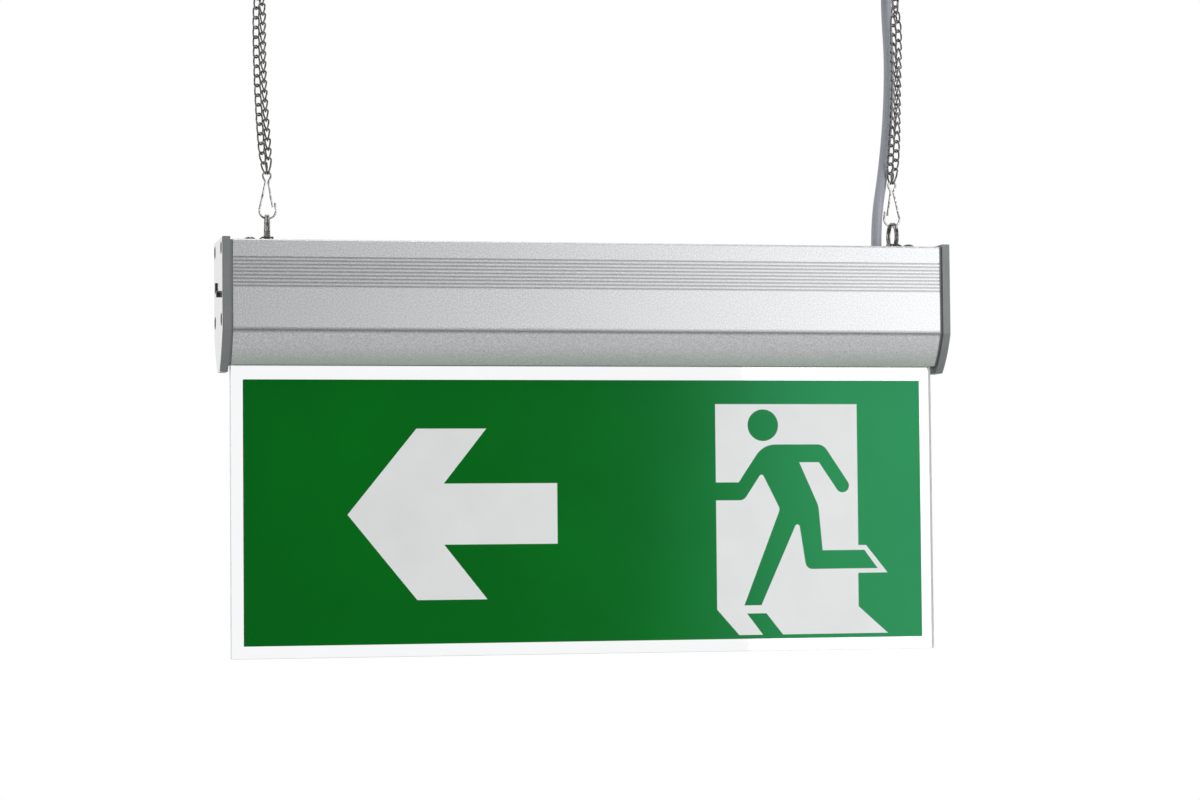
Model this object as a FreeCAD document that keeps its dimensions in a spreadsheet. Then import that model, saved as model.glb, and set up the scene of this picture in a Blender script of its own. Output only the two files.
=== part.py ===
"""Edge-lit emergency exit light, hung from the ceiling on two doubled chains.

Millimetres, +Z up, +X to the lamp's right seen from its front, which faces -Y.
The origin lies on the ceiling, midway between the two ceiling hooks.
"""
import FreeCAD, Part
import Sketcher
import math
import os
import re

SIZES = {
    # housing extrusion
    "lamp_length": 360.0,
    "housing_depth": 36.0,
    "housing_height": 58.8,
    "housing_wall": 1.6,
    "kink_rise": 15.7,
    "kink_angle": 22.0,
    "lower_radius": 50.0,
    "top_edge_radius": 1.0,
    "shelf_rise": 18.3,
    "shelf_wall": 1.6,
    "groove_drop": 8.7,
    "groove_pitch": 1.7,
    "groove_width": 0.8,
    "groove_depth": 0.45,
    "groove_count": 9,
    "port_boss_radius": 2.9,
    "port_bore_radius": 1.4,
    "port_inset": 2.5,
    # end caps
    "cap_plate": 3.9,
    "cap_rim": 1.3,
    "cap_proud": 1.0,
    "cap_reveal": 0.35,
    "cap_foot": 3.5,
    "cap_edge_radius": 0.6,
    "tongue_width": 18.0,
    "tongue_depth": 6.0,
    "tongue_wall": 1.6,
    "tongue_clearance": 0.25,
    "cap_hole_radius": 1.7,
    "cap_recess_radius": 3.1,
    "cap_recess_depth": 2.0,
    "cap_screw_radius": 1.35,
    "cap_screw_length": 12.0,
    "cap_head_radius": 2.8,
    "cap_head_height": 1.7,
    # light-guide panel
    "panel_thickness": 5.0,
    "panel_reach": 140.0,
    "panel_end_clearance": 0.3,
    "panel_side_clearance": 0.4,
    "panel_led_gap": 0.8,
    "legend_inset": 11.65,
    "legend_height": 127.0,
    "legend_drop": 7.0,
    "film_thickness": 0.2,
    "pin_radius": 1.5,
    "pin_length": 12.0,
    "pin_clearance": 0.05,
    "pin_spacing": 150.0,
    "gasket_inset": 7.5,
    "led_board_inset": 10.0,
    "led_board_width": 10.0,
    "led_board_thickness": 1.4,
    "led_length": 3.5,
    "led_width": 2.8,
    "led_height": 0.8,
    "led_inset": 9.0,
    "led_count": 24,
    # gear tray and what it carries
    "tray_inset": 30.0,
    "tray_width": 20.0,
    "tray_sheet": 1.0,
    "tray_flange": 6.0,
    "tray_screw_inset": 6.0,
    "tray_screw_offset": 6.6,
    "tray_screw_radius": 1.2,
    "tray_head_radius": 2.2,
    "tray_head_height": 1.2,
    "screw_clearance": 0.05,
    "spacer_height": 3.0,
    "spacer_radius": 2.5,
    "spacer_inset": 5.0,
    "board_width": 17.0,
    "board_thickness": 1.6,
    "board_gap": 5.0,
    "transformer_length": 24.0,
    "transformer_width": 16.0,
    "transformer_height": 15.0,
    "transformer_chamfer": 1.2,
    "capacitor_radius": 4.0,
    "capacitor_height": 12.0,
    "capacitor_edge": 0.6,
    "capacitor_pitch": 12.0,
    "cell_radius": 7.1,
    "cell_length": 49.5,
    "cell_edge": 0.8,
    "cell_nub": 1.0,
    "cell_nub_radius": 2.7,
    "cell_clearance": 0.2,
    "holder_inset": 66.0,
    "holder_wall": 1.2,
    "holder_rise": 8.0,
    "terminal_length": 24.0,
    "terminal_width": 17.0,
    "terminal_height": 14.0,
    "terminal_reach": 38.0,
    "wire_hole_radius": 2.0,
    # supply cable where it enters
    "cable_radius": 2.6,
    "cable_bend_radius": 16.0,
    "grommet_clearance": 0.05,
    "grommet_flange_radius": 4.4,
    "grommet_flange": 0.8,
    "grommet_neck_radius": 3.5,
    "gland_inset": 32.0,
    # test button and indicator
    "button_radius": 1.6,
    "button_proud": 1.6,
    "button_travel": 1.0,
    "button_flange_radius": 2.4,
    "button_flange": 0.9,
    "button_flange_gap": 0.1,
    "button_crown": 0.3,
    "button_clearance": 0.05,
    "button_y": -6.0,
    "button_drop": 25.5,
    "lens_width": 2.0,
    "lens_height": 5.0,
    "lens_proud": 0.7,
    "lens_clearance": 0.1,
    "lens_y": 8.0,
    "lens_drop": 21.7,
    "post_radius": 1.8,
    "post_length": 6.0,
    "post_spacing": 23.0,
    "button_board_width": 28.0,
    "button_board_height": 16.0,
    "button_board_drop": 22.0,
    "switch_side": 6.0,
    "plunger_radius": 1.4,
    "plunger_gap": 0.1,
    "plunger_reach": 0.6,
    # eye straps
    "ring_inset": 23.5,
    "strap_sheet": 0.6,
    "strap_rise": 2.0,
    "strap_width": 7.0,
    "bridge_width": 3.4,
    "bridge_half_length": 2.3,
    "strap_slope": 2.8,
    "strap_screw_x": 8.2,
    "strap_foot_end": 4.0,
    "toe_depth": 2.8,
    "toe_clearance": 0.2,
    "strap_screw_radius": 1.5,
    "strap_screw_length": 6.0,
    "strap_head_radius": 2.7,
    "strap_head_height": 1.9,
    # split rings, snap hooks, chains, shackle rings
    "contact_gap": 0.05,
    "ring_radius": 5.95,
    "ring_wire": 0.55,
    "ring_lift": 0.4,
    "ring_gap": 0.3,
    "ring_turns": 1.97,
    "ring_start": 20.0,
    "snap_wire": 0.5,
    "snap_height": 22.4,
    "snap_bow_half": 4.6,
    "snap_bow_radius": 3.6,
    "snap_neck_half": 0.62,
    "snap_neck_height": 17.6,
    "snap_neck_radius": 2.5,
    "snap_eye_half": 3.35,
    "snap_eye_radius": 1.95,
    "snap_arm_x": 2.62,
    "snap_arm_height": 5.3,
    "snap_tip_x": 3.85,
    "snap_tip_height": 7.4,
    "link_wire": 0.4,
    "link_width": 3.8,
    "link_pitch": 4.65,
    "link_count": 20,
    "link_twist": 90.0,
    "link_gap": 0.2,
    "near_facing": 8.0,
    "far_facing": -40.0,
    "strand_half_gap": 1.75,
    "strand_eye_offset": 0.6,
    "strand_depth": 1.2,
    "strand_step": 0.55,
    "hang_lean": 3.0,
    "shackle_radius": 5.4,
    "shackle_wire": 0.6,
    # ceiling fixings
    "hook_drop": 20.0,
    "hook_wire": 1.25,
    "hook_bow_half": 6.0,
    "hook_bow_radius": 5.0,
    "hook_neck_drop": 6.0,
    "hook_tip_rise": 7.0,
    "hook_base": 2.0,
    "hook_base_length": 34.0,
    "hook_base_width": 11.0,
    "hook_hole_radius": 1.75,
    "hook_hole_spacing": 24.0,
    "outlet_length": 36.0,
    "outlet_width": 20.0,
    "outlet_height": 18.0,
    "outlet_edge": 2.0,
    "outlet_nose_radius": 5.0,
    "outlet_nose": 5.9,
    "outlet_nose_y": 13.0,
    "outlet_reach": 10.9,
    "outlet_y": 18.0,
}

# The cable hangs beside and behind the right-hand chain: places from the gland, heights above the housing.
CABLE_ROUTE = [(0.0, 0.0, 15.0), (5.8, 5.0, 40.0), (9.8, 8.2, 70.0), (11.4, 10.6, 98.0), (10.9, 13.0, 119.0)]

doc = FreeCAD.newDocument("ExitLight")
sheet = doc.addObject("Spreadsheet::Sheet", "Sizes")
for row, (alias, amount) in enumerate(SIZES.items(), start=1):
    sheet.set(f"A{row}", alias)
    sheet.set(f"B{row}", str(amount))
    sheet.setAlias(f"B{row}", alias)
doc.recompute()

# Shares of a screw: its head's dome, the blunt end of its shank, and the slot across its head.
DOME_SHARE = 0.45
POINT_SHARE = 0.6
SLOT_SHARE = 0.22

# Flat-sided wire: flats round it, the turns at which a link's end bends, and a ring's stations in one turn.
LINK_FLATS = 5
LINK_BENDS = (0, 45, 90, 135, 180)
RING_FLATS = 8
RING_STATIONS = 24

# How far a cut runs past the face it starts from.
PAST = 1.0

SUBPARTS = []
FRONT = FreeCAD.Vector(0, -1, 0)
RIGHT = FreeCAD.Vector(1, 0, 0)
UP = FreeCAD.Vector(0, 0, 1)


def tied(text):
    """An expression on the sheet's aliases, as FreeCAD reads it."""
    return re.sub(r"[a-z_]+", lambda word: f"Sizes.{word[0]}" if word[0] in SIZES else word[0], str(text))


def mm(text):
    """The value of an expression on the sheet's aliases."""
    return float(sheet.evalExpression(tied(text)))


def bind(item, **properties):
    """Tie properties of an object to expressions; a double underscore stands for a dot."""
    for name, text in properties.items():
        item.setExpression(name.replace("__", "."), tied(text))


# Places worked out from the sizes, as expressions. Lengths along X are from the lamp's middle.
HALF_HOUSING = "(lamp_length / 2 - cap_plate - cap_rim)"
RING_X = "(lamp_length / 2 - ring_inset)"
GLAND_X = "(lamp_length / 2 - gland_inset)"
OUTLET_X = f"({GLAND_X} + outlet_reach)"
LEGEND_HALF = "(lamp_length / 2 - legend_inset)"
GASKET_HALF = "(lamp_length / 2 - gasket_inset)"
LED_BOARD_HALF = "(lamp_length / 2 - led_board_inset)"
LED_PITCH = f"(2 * ({LED_BOARD_HALF} - led_inset) / (led_count - 1))"
TRAY_HALF = "(lamp_length / 2 - tray_inset)"
TRAY_SCREW_X = f"({TRAY_HALF} - tray_screw_inset)"
HOLDER_LENGTH = "(2 * (cell_length + cell_nub) + 2 * holder_wall + 3 * cell_clearance)"
HOLDER_CENTRE = f"(holder_inset - {TRAY_HALF})"
TERMINAL_CENTRE = f"({GLAND_X} - terminal_reach)"
BOARD_LEFT = f"({HOLDER_CENTRE} + {HOLDER_LENGTH} / 2 + board_gap)"
BOARD_RIGHT = f"({TERMINAL_CENTRE} - terminal_length / 2 - board_gap)"
BOARD_CENTRE = f"(({BOARD_LEFT} + {BOARD_RIGHT}) / 2)"
THROUGH_HOUSING = f"2 * ({HALF_HOUSING} + {PAST})"
HALF_DEPTH = "(housing_depth / 2)"
KINK_DROP = "(housing_height - kink_rise)"
SHELF_DROP = "(housing_height - shelf_rise)"
CAVITY_HALF = "(housing_depth / 2 - housing_wall)"
ARC_Y = "(housing_depth / 2 - lower_radius * cos(kink_angle))"
ARC_Z = f"(lower_radius * sin(kink_angle) - {KINK_DROP})"
SLOT_HALF = "(panel_thickness / 2 + panel_side_clearance)"
SHELF_UNDER = f"({SHELF_DROP} + shelf_wall)"
PANEL_TOP_DROP = f"({SHELF_UNDER} + led_board_thickness + led_height + panel_led_gap)"
PIN_DROP = "(housing_height - housing_wall - pin_radius - pin_clearance)"
PORT_Y = f"({CAVITY_HALF} - port_inset)"
PORT_DROPS = ("(housing_wall + port_inset)", f"({SHELF_DROP} - port_inset)")
TRAY_TOP = f"(tray_sheet - {SHELF_DROP})"
BOARD_TOP = f"({TRAY_TOP} + spacer_height + board_thickness)"
CELL_Z = f"({TRAY_TOP} + holder_wall + cell_radius + cell_clearance)"

# Levels of what hangs, from the ceiling down: the centre of each wire where it bears on the next.
HOOK_SEAT = "(-hook_drop)"
SHACKLE_TOP = f"({HOOK_SEAT} + hook_wire + shackle_wire + contact_gap)"
SHACKLE_CENTRE = f"({SHACKLE_TOP} - shackle_radius)"
SHACKLE_LOW = f"({SHACKLE_CENTRE} - shackle_radius)"
SHACKLE_BEARING = "(shackle_radius - shackle_wire - link_wire - link_gap / 2)"
CHAIN_TOP = f"({SHACKLE_CENTRE} - sqrt({SHACKLE_BEARING}^2 - strand_depth^2))"
LINK_LENGTH = "(link_pitch + 2 * link_wire + link_gap)"
CHAIN_LOW = f"({CHAIN_TOP} - (link_count - 1) * link_pitch - {LINK_LENGTH})"
EYE_BEARING = "(snap_eye_radius - snap_wire - link_wire - link_gap / 2)"
SNAP_EYE = f"({CHAIN_LOW} + snap_eye_radius - sqrt({EYE_BEARING}^2 - strand_eye_offset^2))"
SNAP_BOW = f"({SNAP_EYE} - snap_height)"
RING_TOP = f"({SNAP_BOW} + snap_wire + ring_wire + ring_gap)"
RING_CENTRE = f"({RING_TOP} - ring_radius)"
HOUSING_TOP = f"({RING_CENTRE} - ring_radius - ring_wire - ring_lift)"
HOOK_X = f"({RING_X} + hang_lean)"


def keep(item, label):
    """List an object as a sub-part under its own label."""
    item.Label = label
    SUBPARTS.append(item)
    return item


def on_lamp(item, label):
    """Keep a sub-part that was built with the housing's top at height zero."""
    bind(item, Placement__Base__z=HOUSING_TOP)
    return keep(item, label)


def new_body(name):
    return doc.addObject("PartDesign::Body", name)


def new_sketch(body, name, role, offset="0"):
    """A sketch on one of the body's own origin planes, moved along its normal."""
    sketch = body.newObject("Sketcher::SketchObject", name)
    plane = next(feature for feature in body.Origin.OriginFeatures if feature.Role == role)
    sketch.AttachmentSupport = [(plane, "")]
    sketch.MapMode = "FlatFace"
    bind(sketch, AttachmentOffset__Base__z=offset)
    return sketch


def pin_point(sketch, edge, end, across, up):
    """Tie one end of an edge to a place in the sketch."""
    for kind, text in (("DistanceX", across), ("DistanceY", up)):
        index = sketch.addConstraint(Sketcher.Constraint(kind, edge, end, mm(text)))
        bind(sketch, **{f"Constraints[{index}]": text})


def draw_loop(sketch, corners, bulges=None):
    """A closed loop through corners; a bulge makes the side after a corner an arc of (radius, centre)."""
    bulges = bulges or {}
    first = sketch.GeometryCount
    places = [FreeCAD.Vector(mm(across), mm(up), 0) for across, up in corners]
    for index, place in enumerate(places):
        following = places[(index + 1) % len(places)]
        if index in bulges:
            radius, centre_across, centre_up = bulges[index]
            centre = FreeCAD.Vector(mm(centre_across), mm(centre_up), 0)
            turns = [math.atan2(end.y - centre.y, end.x - centre.x) for end in (place, following)]
            if (turns[1] - turns[0]) % (2 * math.pi) > math.pi:
                turns.reverse()
            circle = Part.Circle(centre, UP, mm(radius))
            sketch.addGeometry(Part.ArcOfCircle(circle, turns[0], turns[1]), False)
        else:
            sketch.addGeometry(Part.LineSegment(place, following), False)
    for index, (across, up) in enumerate(corners):
        edge = first + index
        geometry = sketch.Geometry[edge]
        forward = (geometry.StartPoint - places[index]).Length < 1e-6
        pin_point(sketch, edge, 1 if forward else 2, across, up)
        before = first + (index - 1) % len(corners)
        earlier = sketch.Geometry[before]
        meets = 2 if (earlier.EndPoint - places[index]).Length < 1e-6 else 1
        sketch.addConstraint(Sketcher.Constraint("Coincident", before, meets, edge, 1 if forward else 2))
        if index in bulges:
            radius = bulges[index][0]
            number = sketch.addConstraint(Sketcher.Constraint("Radius", edge, mm(radius)))
            bind(sketch, **{f"Constraints[{number}]": radius})


def draw_rectangle(sketch, left, right, low, high):
    draw_loop(sketch, [(left, low), (right, low), (right, high), (left, high)])


def draw_circle(sketch, across, up, radius):
    centre = FreeCAD.Vector(mm(across), mm(up), 0)
    edge = sketch.addGeometry(Part.Circle(centre, UP, mm(radius)), False)
    pin_point(sketch, edge, 3, across, up)
    index = sketch.addConstraint(Sketcher.Constraint("Radius", edge, mm(radius)))
    bind(sketch, **{f"Constraints[{index}]": radius})


def add_pad(body, name, sketch, length, midplane=False, reverse=False):
    pad = body.newObject("PartDesign::Pad", name)
    pad.Profile = sketch
    bind(pad, Length=length)
    pad.Midplane = midplane
    pad.Reversed = reverse
    doc.recompute()
    return pad


def add_pocket(body, name, sketch, length=None, midplane=False, reverse=False):
    """Cut a sketch out of the body, right through when no depth is given, and check that it cuts."""
    before = body.Shape.Volume
    pocket = body.newObject("PartDesign::Pocket", name)
    pocket.Profile = sketch
    if length is None:
        pocket.Type = "ThroughAll"
    else:
        bind(pocket, Length=length)
    pocket.Midplane = midplane
    pocket.Reversed = reverse
    doc.recompute()
    if body.Shape.Volume >= before:
        raise RuntimeError(f"{name} cuts nothing")
    return pocket


def add_fillet(body, name, base, edges, radius):
    """Round the edges that a test picks out."""
    names = [f"Edge{number}" for number, edge in enumerate(base.Shape.Edges, start=1) if edges(edge)]
    fillet = body.newObject("PartDesign::Fillet", name)
    fillet.Base = (base, names)
    bind(fillet, Radius=radius)
    doc.recompute()
    return fillet


def draw_housing_outline(sketch, proud, top, foot):
    """The housing's outline, moved out by proud, from the height top down to foot."""
    side = f"({HALF_DEPTH} + ({proud}))"
    radius = f"(lower_radius + ({proud}))"
    kink = f"({ARC_Z} - sqrt({radius}^2 - ({side} - {ARC_Y})^2))"
    foot_side = f"({ARC_Y} + sqrt({radius}^2 - ({foot} - {ARC_Z})^2))"
    corners = [(side, top), (side, kink), (foot_side, foot)]
    corners += [(f"(-{across})", up) for across, up in reversed(corners)]
    bulges = {1: (radius, ARC_Y, ARC_Z), 3: (radius, f"(-{ARC_Y})", ARC_Z)}
    draw_loop(sketch, corners, bulges)


def make_housing_extrusion():
    body = new_body("HousingExtrusion")
    outline = new_sketch(body, "HousingOutline", "YZ_Plane")
    draw_housing_outline(outline, "0", "0", "(-housing_height)")
    blank = add_pad(body, "HousingBlank", outline, f"2 * {HALF_HOUSING}", midplane=True)

    def is_top_edge(edge):
        ends = [vertex.Point for vertex in edge.Vertexes]
        return all(abs(end.z) < 1e-6 for end in ends) and abs(ends[0].x - ends[1].x) > 1

    add_fillet(body, "HousingTopEdges", blank, is_top_edge, "top_edge_radius")

    cavity = new_sketch(body, "GearCavity", "YZ_Plane")
    draw_rectangle(cavity, f"(-{CAVITY_HALF})", CAVITY_HALF, f"(-{SHELF_DROP})", "(-housing_wall)")
    add_pocket(body, "GearCavityCut", cavity, THROUGH_HOUSING, midplane=True)

    inner_radius = "(lower_radius - housing_wall)"
    inner_kink = f"({ARC_Z} - sqrt({inner_radius}^2 - ({CAVITY_HALF} - {ARC_Y})^2))"
    lip_top = "(housing_wall - housing_height)"
    lip_side = f"({ARC_Y} + sqrt({inner_radius}^2 - ({lip_top} - {ARC_Z})^2))"
    corners = [
        (CAVITY_HALF, f"(-{SHELF_UNDER})"),
        (CAVITY_HALF, inner_kink),
        (lip_side, lip_top),
        (SLOT_HALF, lip_top),
        (SLOT_HALF, "(-housing_height - housing_wall)"),
    ]
    corners += [(f"(-{across})", up) for across, up in reversed(corners)]
    bulges = {1: (inner_radius, ARC_Y, ARC_Z), 7: (inner_radius, f"(-{ARC_Y})", ARC_Z)}
    slot = new_sketch(body, "PanelCavity", "YZ_Plane")
    draw_loop(slot, corners, bulges)
    add_pocket(body, "PanelCavityCut", slot, THROUGH_HOUSING, midplane=True)

    bosses = new_sketch(body, "ScrewPortBosses", "YZ_Plane")
    for side in ("", "-"):
        for drop in PORT_DROPS:
            draw_circle(bosses, f"({side}{PORT_Y})", f"(-{drop})", "port_boss_radius")
    add_pad(body, "ScrewPorts", bosses, f"2 * {HALF_HOUSING}", midplane=True)
    bores = new_sketch(body, "ScrewPortBores", "YZ_Plane")
    for side in ("", "-"):
        for drop in PORT_DROPS:
            draw_circle(bores, f"({side}{PORT_Y})", f"(-{drop})", "port_bore_radius")
    add_pocket(body, "ScrewPortBoresCut", bores, THROUGH_HOUSING, midplane=True)

    groove = new_sketch(body, "Groove", "YZ_Plane")
    draw_rectangle(groove, f"({HALF_DEPTH} - groove_depth)", f"({HALF_DEPTH} + {PAST})",
                   "(-groove_drop - groove_width / 2)", "(-groove_drop + groove_width / 2)")
    draw_rectangle(groove, f"(-{HALF_DEPTH} - {PAST})", f"(-{HALF_DEPTH} + groove_depth)",
                   "(-groove_drop - groove_width / 2)", "(-groove_drop + groove_width / 2)")
    cut = add_pocket(body, "GrooveCut", groove, THROUGH_HOUSING, midplane=True)
    rows = body.newObject("PartDesign::LinearPattern", "GrooveBand")
    rows.Originals = [cut]
    rows.Direction = (groove, ["V_Axis"])
    rows.Reversed = True
    bind(rows, Length="groove_pitch * (groove_count - 1)", Occurrences="groove_count")
    body.Tip = rows
    doc.recompute()

    openings = new_sketch(body, "TopOpenings", "XY_Plane")
    draw_circle(openings, GLAND_X, "0", "grommet_neck_radius")
    for side in ("", "-"):
        screw_x = f"({side}({RING_X} + strap_screw_x))"
        draw_circle(openings, screw_x, "0", "(strap_screw_radius + screw_clearance)")
        toe_near = f"({side}({RING_X} - bridge_half_length + toe_clearance))"
        toe_far = f"({side}({RING_X} - bridge_half_length - strap_sheet - toe_clearance))"
        half = "(bridge_width / 2 + toe_clearance)"
        draw_rectangle(openings, toe_far, toe_near, f"(-{half})", half)
    add_pocket(body, "TopOpeningsCut", openings, f"housing_wall + {PAST}")

    shelf_holes = new_sketch(body, "ShelfHoles", "XY_Plane", f"(-{SHELF_DROP})")
    for side, turn in (("", "-"), ("-", "")):
        draw_circle(shelf_holes, f"({side}{TRAY_SCREW_X})", f"({turn}tray_screw_offset)",
                    "(tray_screw_radius + screw_clearance)")
    add_pocket(body, "ShelfHolesCut", shelf_holes, f"shelf_wall + {PAST / 2}")
    return on_lamp(body, "housing_extrusion")


def make_end_cap(name, label, side):
    """An end cap: plate, recessed rim and two tongues; the left one also takes the button and the lens."""
    body = new_body(name)
    plate = new_sketch(body, f"{name}Plate", "YZ_Plane", "cap_rim")
    draw_housing_outline(plate, "cap_proud", "cap_proud", "(-housing_height - cap_foot)")
    blank = add_pad(body, f"{name}PlatePad", plate, "cap_plate")
    outer = mm("cap_rim + cap_plate")

    def is_outer_edge(edge):
        return all(abs(vertex.X - outer) < 1e-6 for vertex in edge.Vertexes)

    add_fillet(body, f"{name}Edges", blank, is_outer_edge, "cap_edge_radius")
    rim = new_sketch(body, f"{name}Rim", "YZ_Plane")
    draw_housing_outline(rim, "(-cap_reveal)", "(-cap_reveal)", "(cap_reveal - housing_height)")
    add_pad(body, f"{name}RimPad", rim, "cap_rim")

    tongues = new_sketch(body, f"{name}Tongues", "YZ_Plane")
    half = "(tongue_width / 2)"
    upper = "(-housing_wall - tongue_clearance)"
    lower = f"(tongue_clearance - {SHELF_DROP})"
    draw_rectangle(tongues, f"(-{half})", half, f"({upper} - tongue_wall)", upper)
    draw_rectangle(tongues, f"(-{half})", half, lower, f"({lower} + tongue_wall)")
    add_pad(body, f"{name}TonguesPad", tongues, "tongue_depth", reverse=True)

    holes = new_sketch(body, f"{name}Holes", "YZ_Plane")
    recesses = new_sketch(body, f"{name}Recesses", "YZ_Plane", "cap_rim + cap_plate")
    for turn in ("", "-"):
        for drop in PORT_DROPS:
            draw_circle(holes, f"({turn}{PORT_Y})", f"(-{drop})", "cap_hole_radius")
            draw_circle(recesses, f"({turn}{PORT_Y})", f"(-{drop})", "cap_recess_radius")
    add_pocket(body, f"{name}HolesCut", holes, f"cap_rim + cap_plate + {PAST}", reverse=True)
    add_pocket(body, f"{name}RecessesCut", recesses, "cap_recess_depth")

    if side < 0:
        posts = new_sketch(body, "BoardPosts", "YZ_Plane")
        for turn in ("", "-"):
            draw_circle(posts, f"({turn}(post_spacing / 2))", "(-button_board_drop)", "post_radius")
        add_pad(body, "BoardPostsPad", posts, "post_length", reverse=True)
        windows = new_sketch(body, "CapWindows", "YZ_Plane")
        draw_circle(windows, "(-button_y)", "(-button_drop)", "(button_radius + button_clearance)")
        lens_half_y = "(lens_width / 2 + lens_clearance)"
        lens_half_z = "(lens_height / 2 + lens_clearance)"
        draw_rectangle(windows, f"(-lens_y - {lens_half_y})", f"(-lens_y + {lens_half_y})",
                       f"(-lens_drop - {lens_half_z})", f"(-lens_drop + {lens_half_z})")
        add_pocket(body, "CapWindowsCut", windows, f"cap_rim + cap_plate + {PAST}", reverse=True)
        body.Placement.Rotation = FreeCAD.Rotation(UP, 180)
        bind(body, Placement__Base__x=f"(-{HALF_HOUSING})")
    else:
        bind(body, Placement__Base__x=HALF_HOUSING)
    return on_lamp(body, label)


def make_block(name, label, x, y, z):
    """A plain box between three pairs of limits."""
    block = doc.addObject("Part::Box", name)
    length, width, height = (f"({high}) - ({low})" for low, high in (x, y, z))
    bind(block, Length=length, Width=width, Height=height)
    bind(block, Placement__Base__x=x[0], Placement__Base__y=y[0])
    bind(block, Placement__Base__z=f"{HOUSING_TOP} + ({z[0]})")
    return keep(block, label)


def make_acrylic_panel():
    body = new_body("AcrylicPanel")
    half = f"({HALF_HOUSING} - panel_end_clearance)"
    outline = new_sketch(body, "PanelOutline", "XZ_Plane")
    draw_rectangle(outline, f"(-{half})", half, "(-housing_height - panel_reach)", f"(-{PANEL_TOP_DROP})")
    add_pad(body, "PanelPad", outline, "panel_thickness", midplane=True)
    holes = new_sketch(body, "PinHoles", "XZ_Plane")
    for across in ("(-pin_spacing)", "0", "pin_spacing"):
        draw_circle(holes, across, f"(-{PIN_DROP})", "(pin_radius + pin_clearance)")
    add_pocket(body, "PinHolesCut", holes, f"panel_thickness + 2 * {PAST}", midplane=True)
    return on_lamp(body, "acrylic_panel")


def make_legend_films():
    """One film on each face of the panel."""
    across = (f"(-{LEGEND_HALF})", LEGEND_HALF)
    heights = ("(-housing_height - legend_drop - legend_height)", "(-housing_height - legend_drop)")
    face = "(panel_thickness / 2)"
    front = (f"(-{face} - film_thickness)", f"(-{face})")
    rear = (face, f"({face} + film_thickness)")
    make_block("LegendFront", "legend_film_front", across, front, heights)
    make_block("LegendRear", "legend_film_rear", across, rear, heights)


def upright_at(across, along, height):
    return FreeCAD.Placement(FreeCAD.Vector(across, along, height), FreeCAD.Rotation())


def placed_copies(shape, places):
    """Separate solids of one shape at several places, as one group."""
    return Part.makeCompound([shape.transformed(place.toMatrix()) for place in places])


def make_shape(name, label, shape, x="0", y="0", z="0", rotation=None):
    """A sub-part whose shape is worked out here, then placed by expressions."""
    feature = doc.addObject("Part::Feature", name)
    feature.Shape = shape
    feature.Placement = FreeCAD.Placement(FreeCAD.Vector(), rotation or FreeCAD.Rotation())
    bind(feature, Placement__Base__x=x, Placement__Base__y=y, Placement__Base__z=z)
    return keep(feature, label)


def make_group(name, label, shape, y="0", z="0"):
    """A sub-part whose shape is worked out here with the housing's top at height zero."""
    return make_shape(name, label, shape, y=y, z=f"{HOUSING_TOP} + {z}")


def screw(*names):
    """A pan-head screw from four sizes: head up from height zero, shank down, and a slot across the dome."""
    head_radius, head_height, radius, length = (mm(name) for name in names)
    shoulder = head_height * (1 - DOME_SHARE)
    point = radius * POINT_SHARE
    corners = [(0, -length), (point, -length), (radius, radius - length), (radius, 0), (head_radius, 0),
               (head_radius, shoulder)]
    places = [FreeCAD.Vector(across, 0, up) for across, up in corners]
    crown = FreeCAD.Vector(0, 0, head_height)
    halfway = math.sqrt(0.5)
    dome = FreeCAD.Vector(head_radius * halfway, 0, shoulder + (head_height - shoulder) * halfway)
    edges = [Part.LineSegment(*ends).toShape() for ends in zip(places, places[1:])]
    edges.append(Part.Arc(places[-1], dome, crown).toShape())
    edges.append(Part.LineSegment(crown, places[0]).toShape())
    turned = Part.Face(Part.Wire(edges)).revolve(FreeCAD.Vector(), UP, 360)
    width = head_radius * SLOT_SHARE
    corner = FreeCAD.Vector(-head_radius, -width / 2, shoulder)
    slot = Part.makeBox(2 * head_radius, width, head_height, corner)
    return turned.cut(slot)


def make_screws():
    """Strap screws, end cap screws and tray screws, each kind as one group."""
    strap = screw("strap_head_radius", "strap_head_height", "strap_screw_radius", "strap_screw_length")
    turn = FreeCAD.Rotation(UP, 90)
    height = mm("strap_sheet")
    places = [FreeCAD.Placement(FreeCAD.Vector(side * mm(f"{RING_X} + strap_screw_x"), 0, height), turn)
              for side in (-1, 1)]
    make_group("StrapScrews", "strap_screws", placed_copies(strap, places))

    cap = screw("cap_head_radius", "cap_head_height", "cap_screw_radius", "cap_screw_length")
    seat = mm(f"{HALF_HOUSING} + cap_rim + cap_plate - cap_recess_depth")
    places = []
    for side in (-1, 1):
        outward = FreeCAD.Rotation(UP, FreeCAD.Vector(side, 0, 0))
        for turned in (-1, 1):
            for drop in PORT_DROPS:
                place = FreeCAD.Vector(side * seat, turned * mm(PORT_Y), -mm(drop))
                places.append(FreeCAD.Placement(place, outward))
    make_group("EndCapScrews", "end_cap_screws", placed_copies(cap, places))

    tray = screw("tray_head_radius", "tray_head_height", "tray_screw_radius", "tray_sheet + shelf_wall")
    level = mm(TRAY_TOP)
    spots = [(side * mm(TRAY_SCREW_X), -side * mm("tray_screw_offset")) for side in (-1, 1)]
    places = [upright_at(across, along, level) for across, along in spots]
    make_group("TrayScrews", "tray_screws", placed_copies(tray, places))


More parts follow.
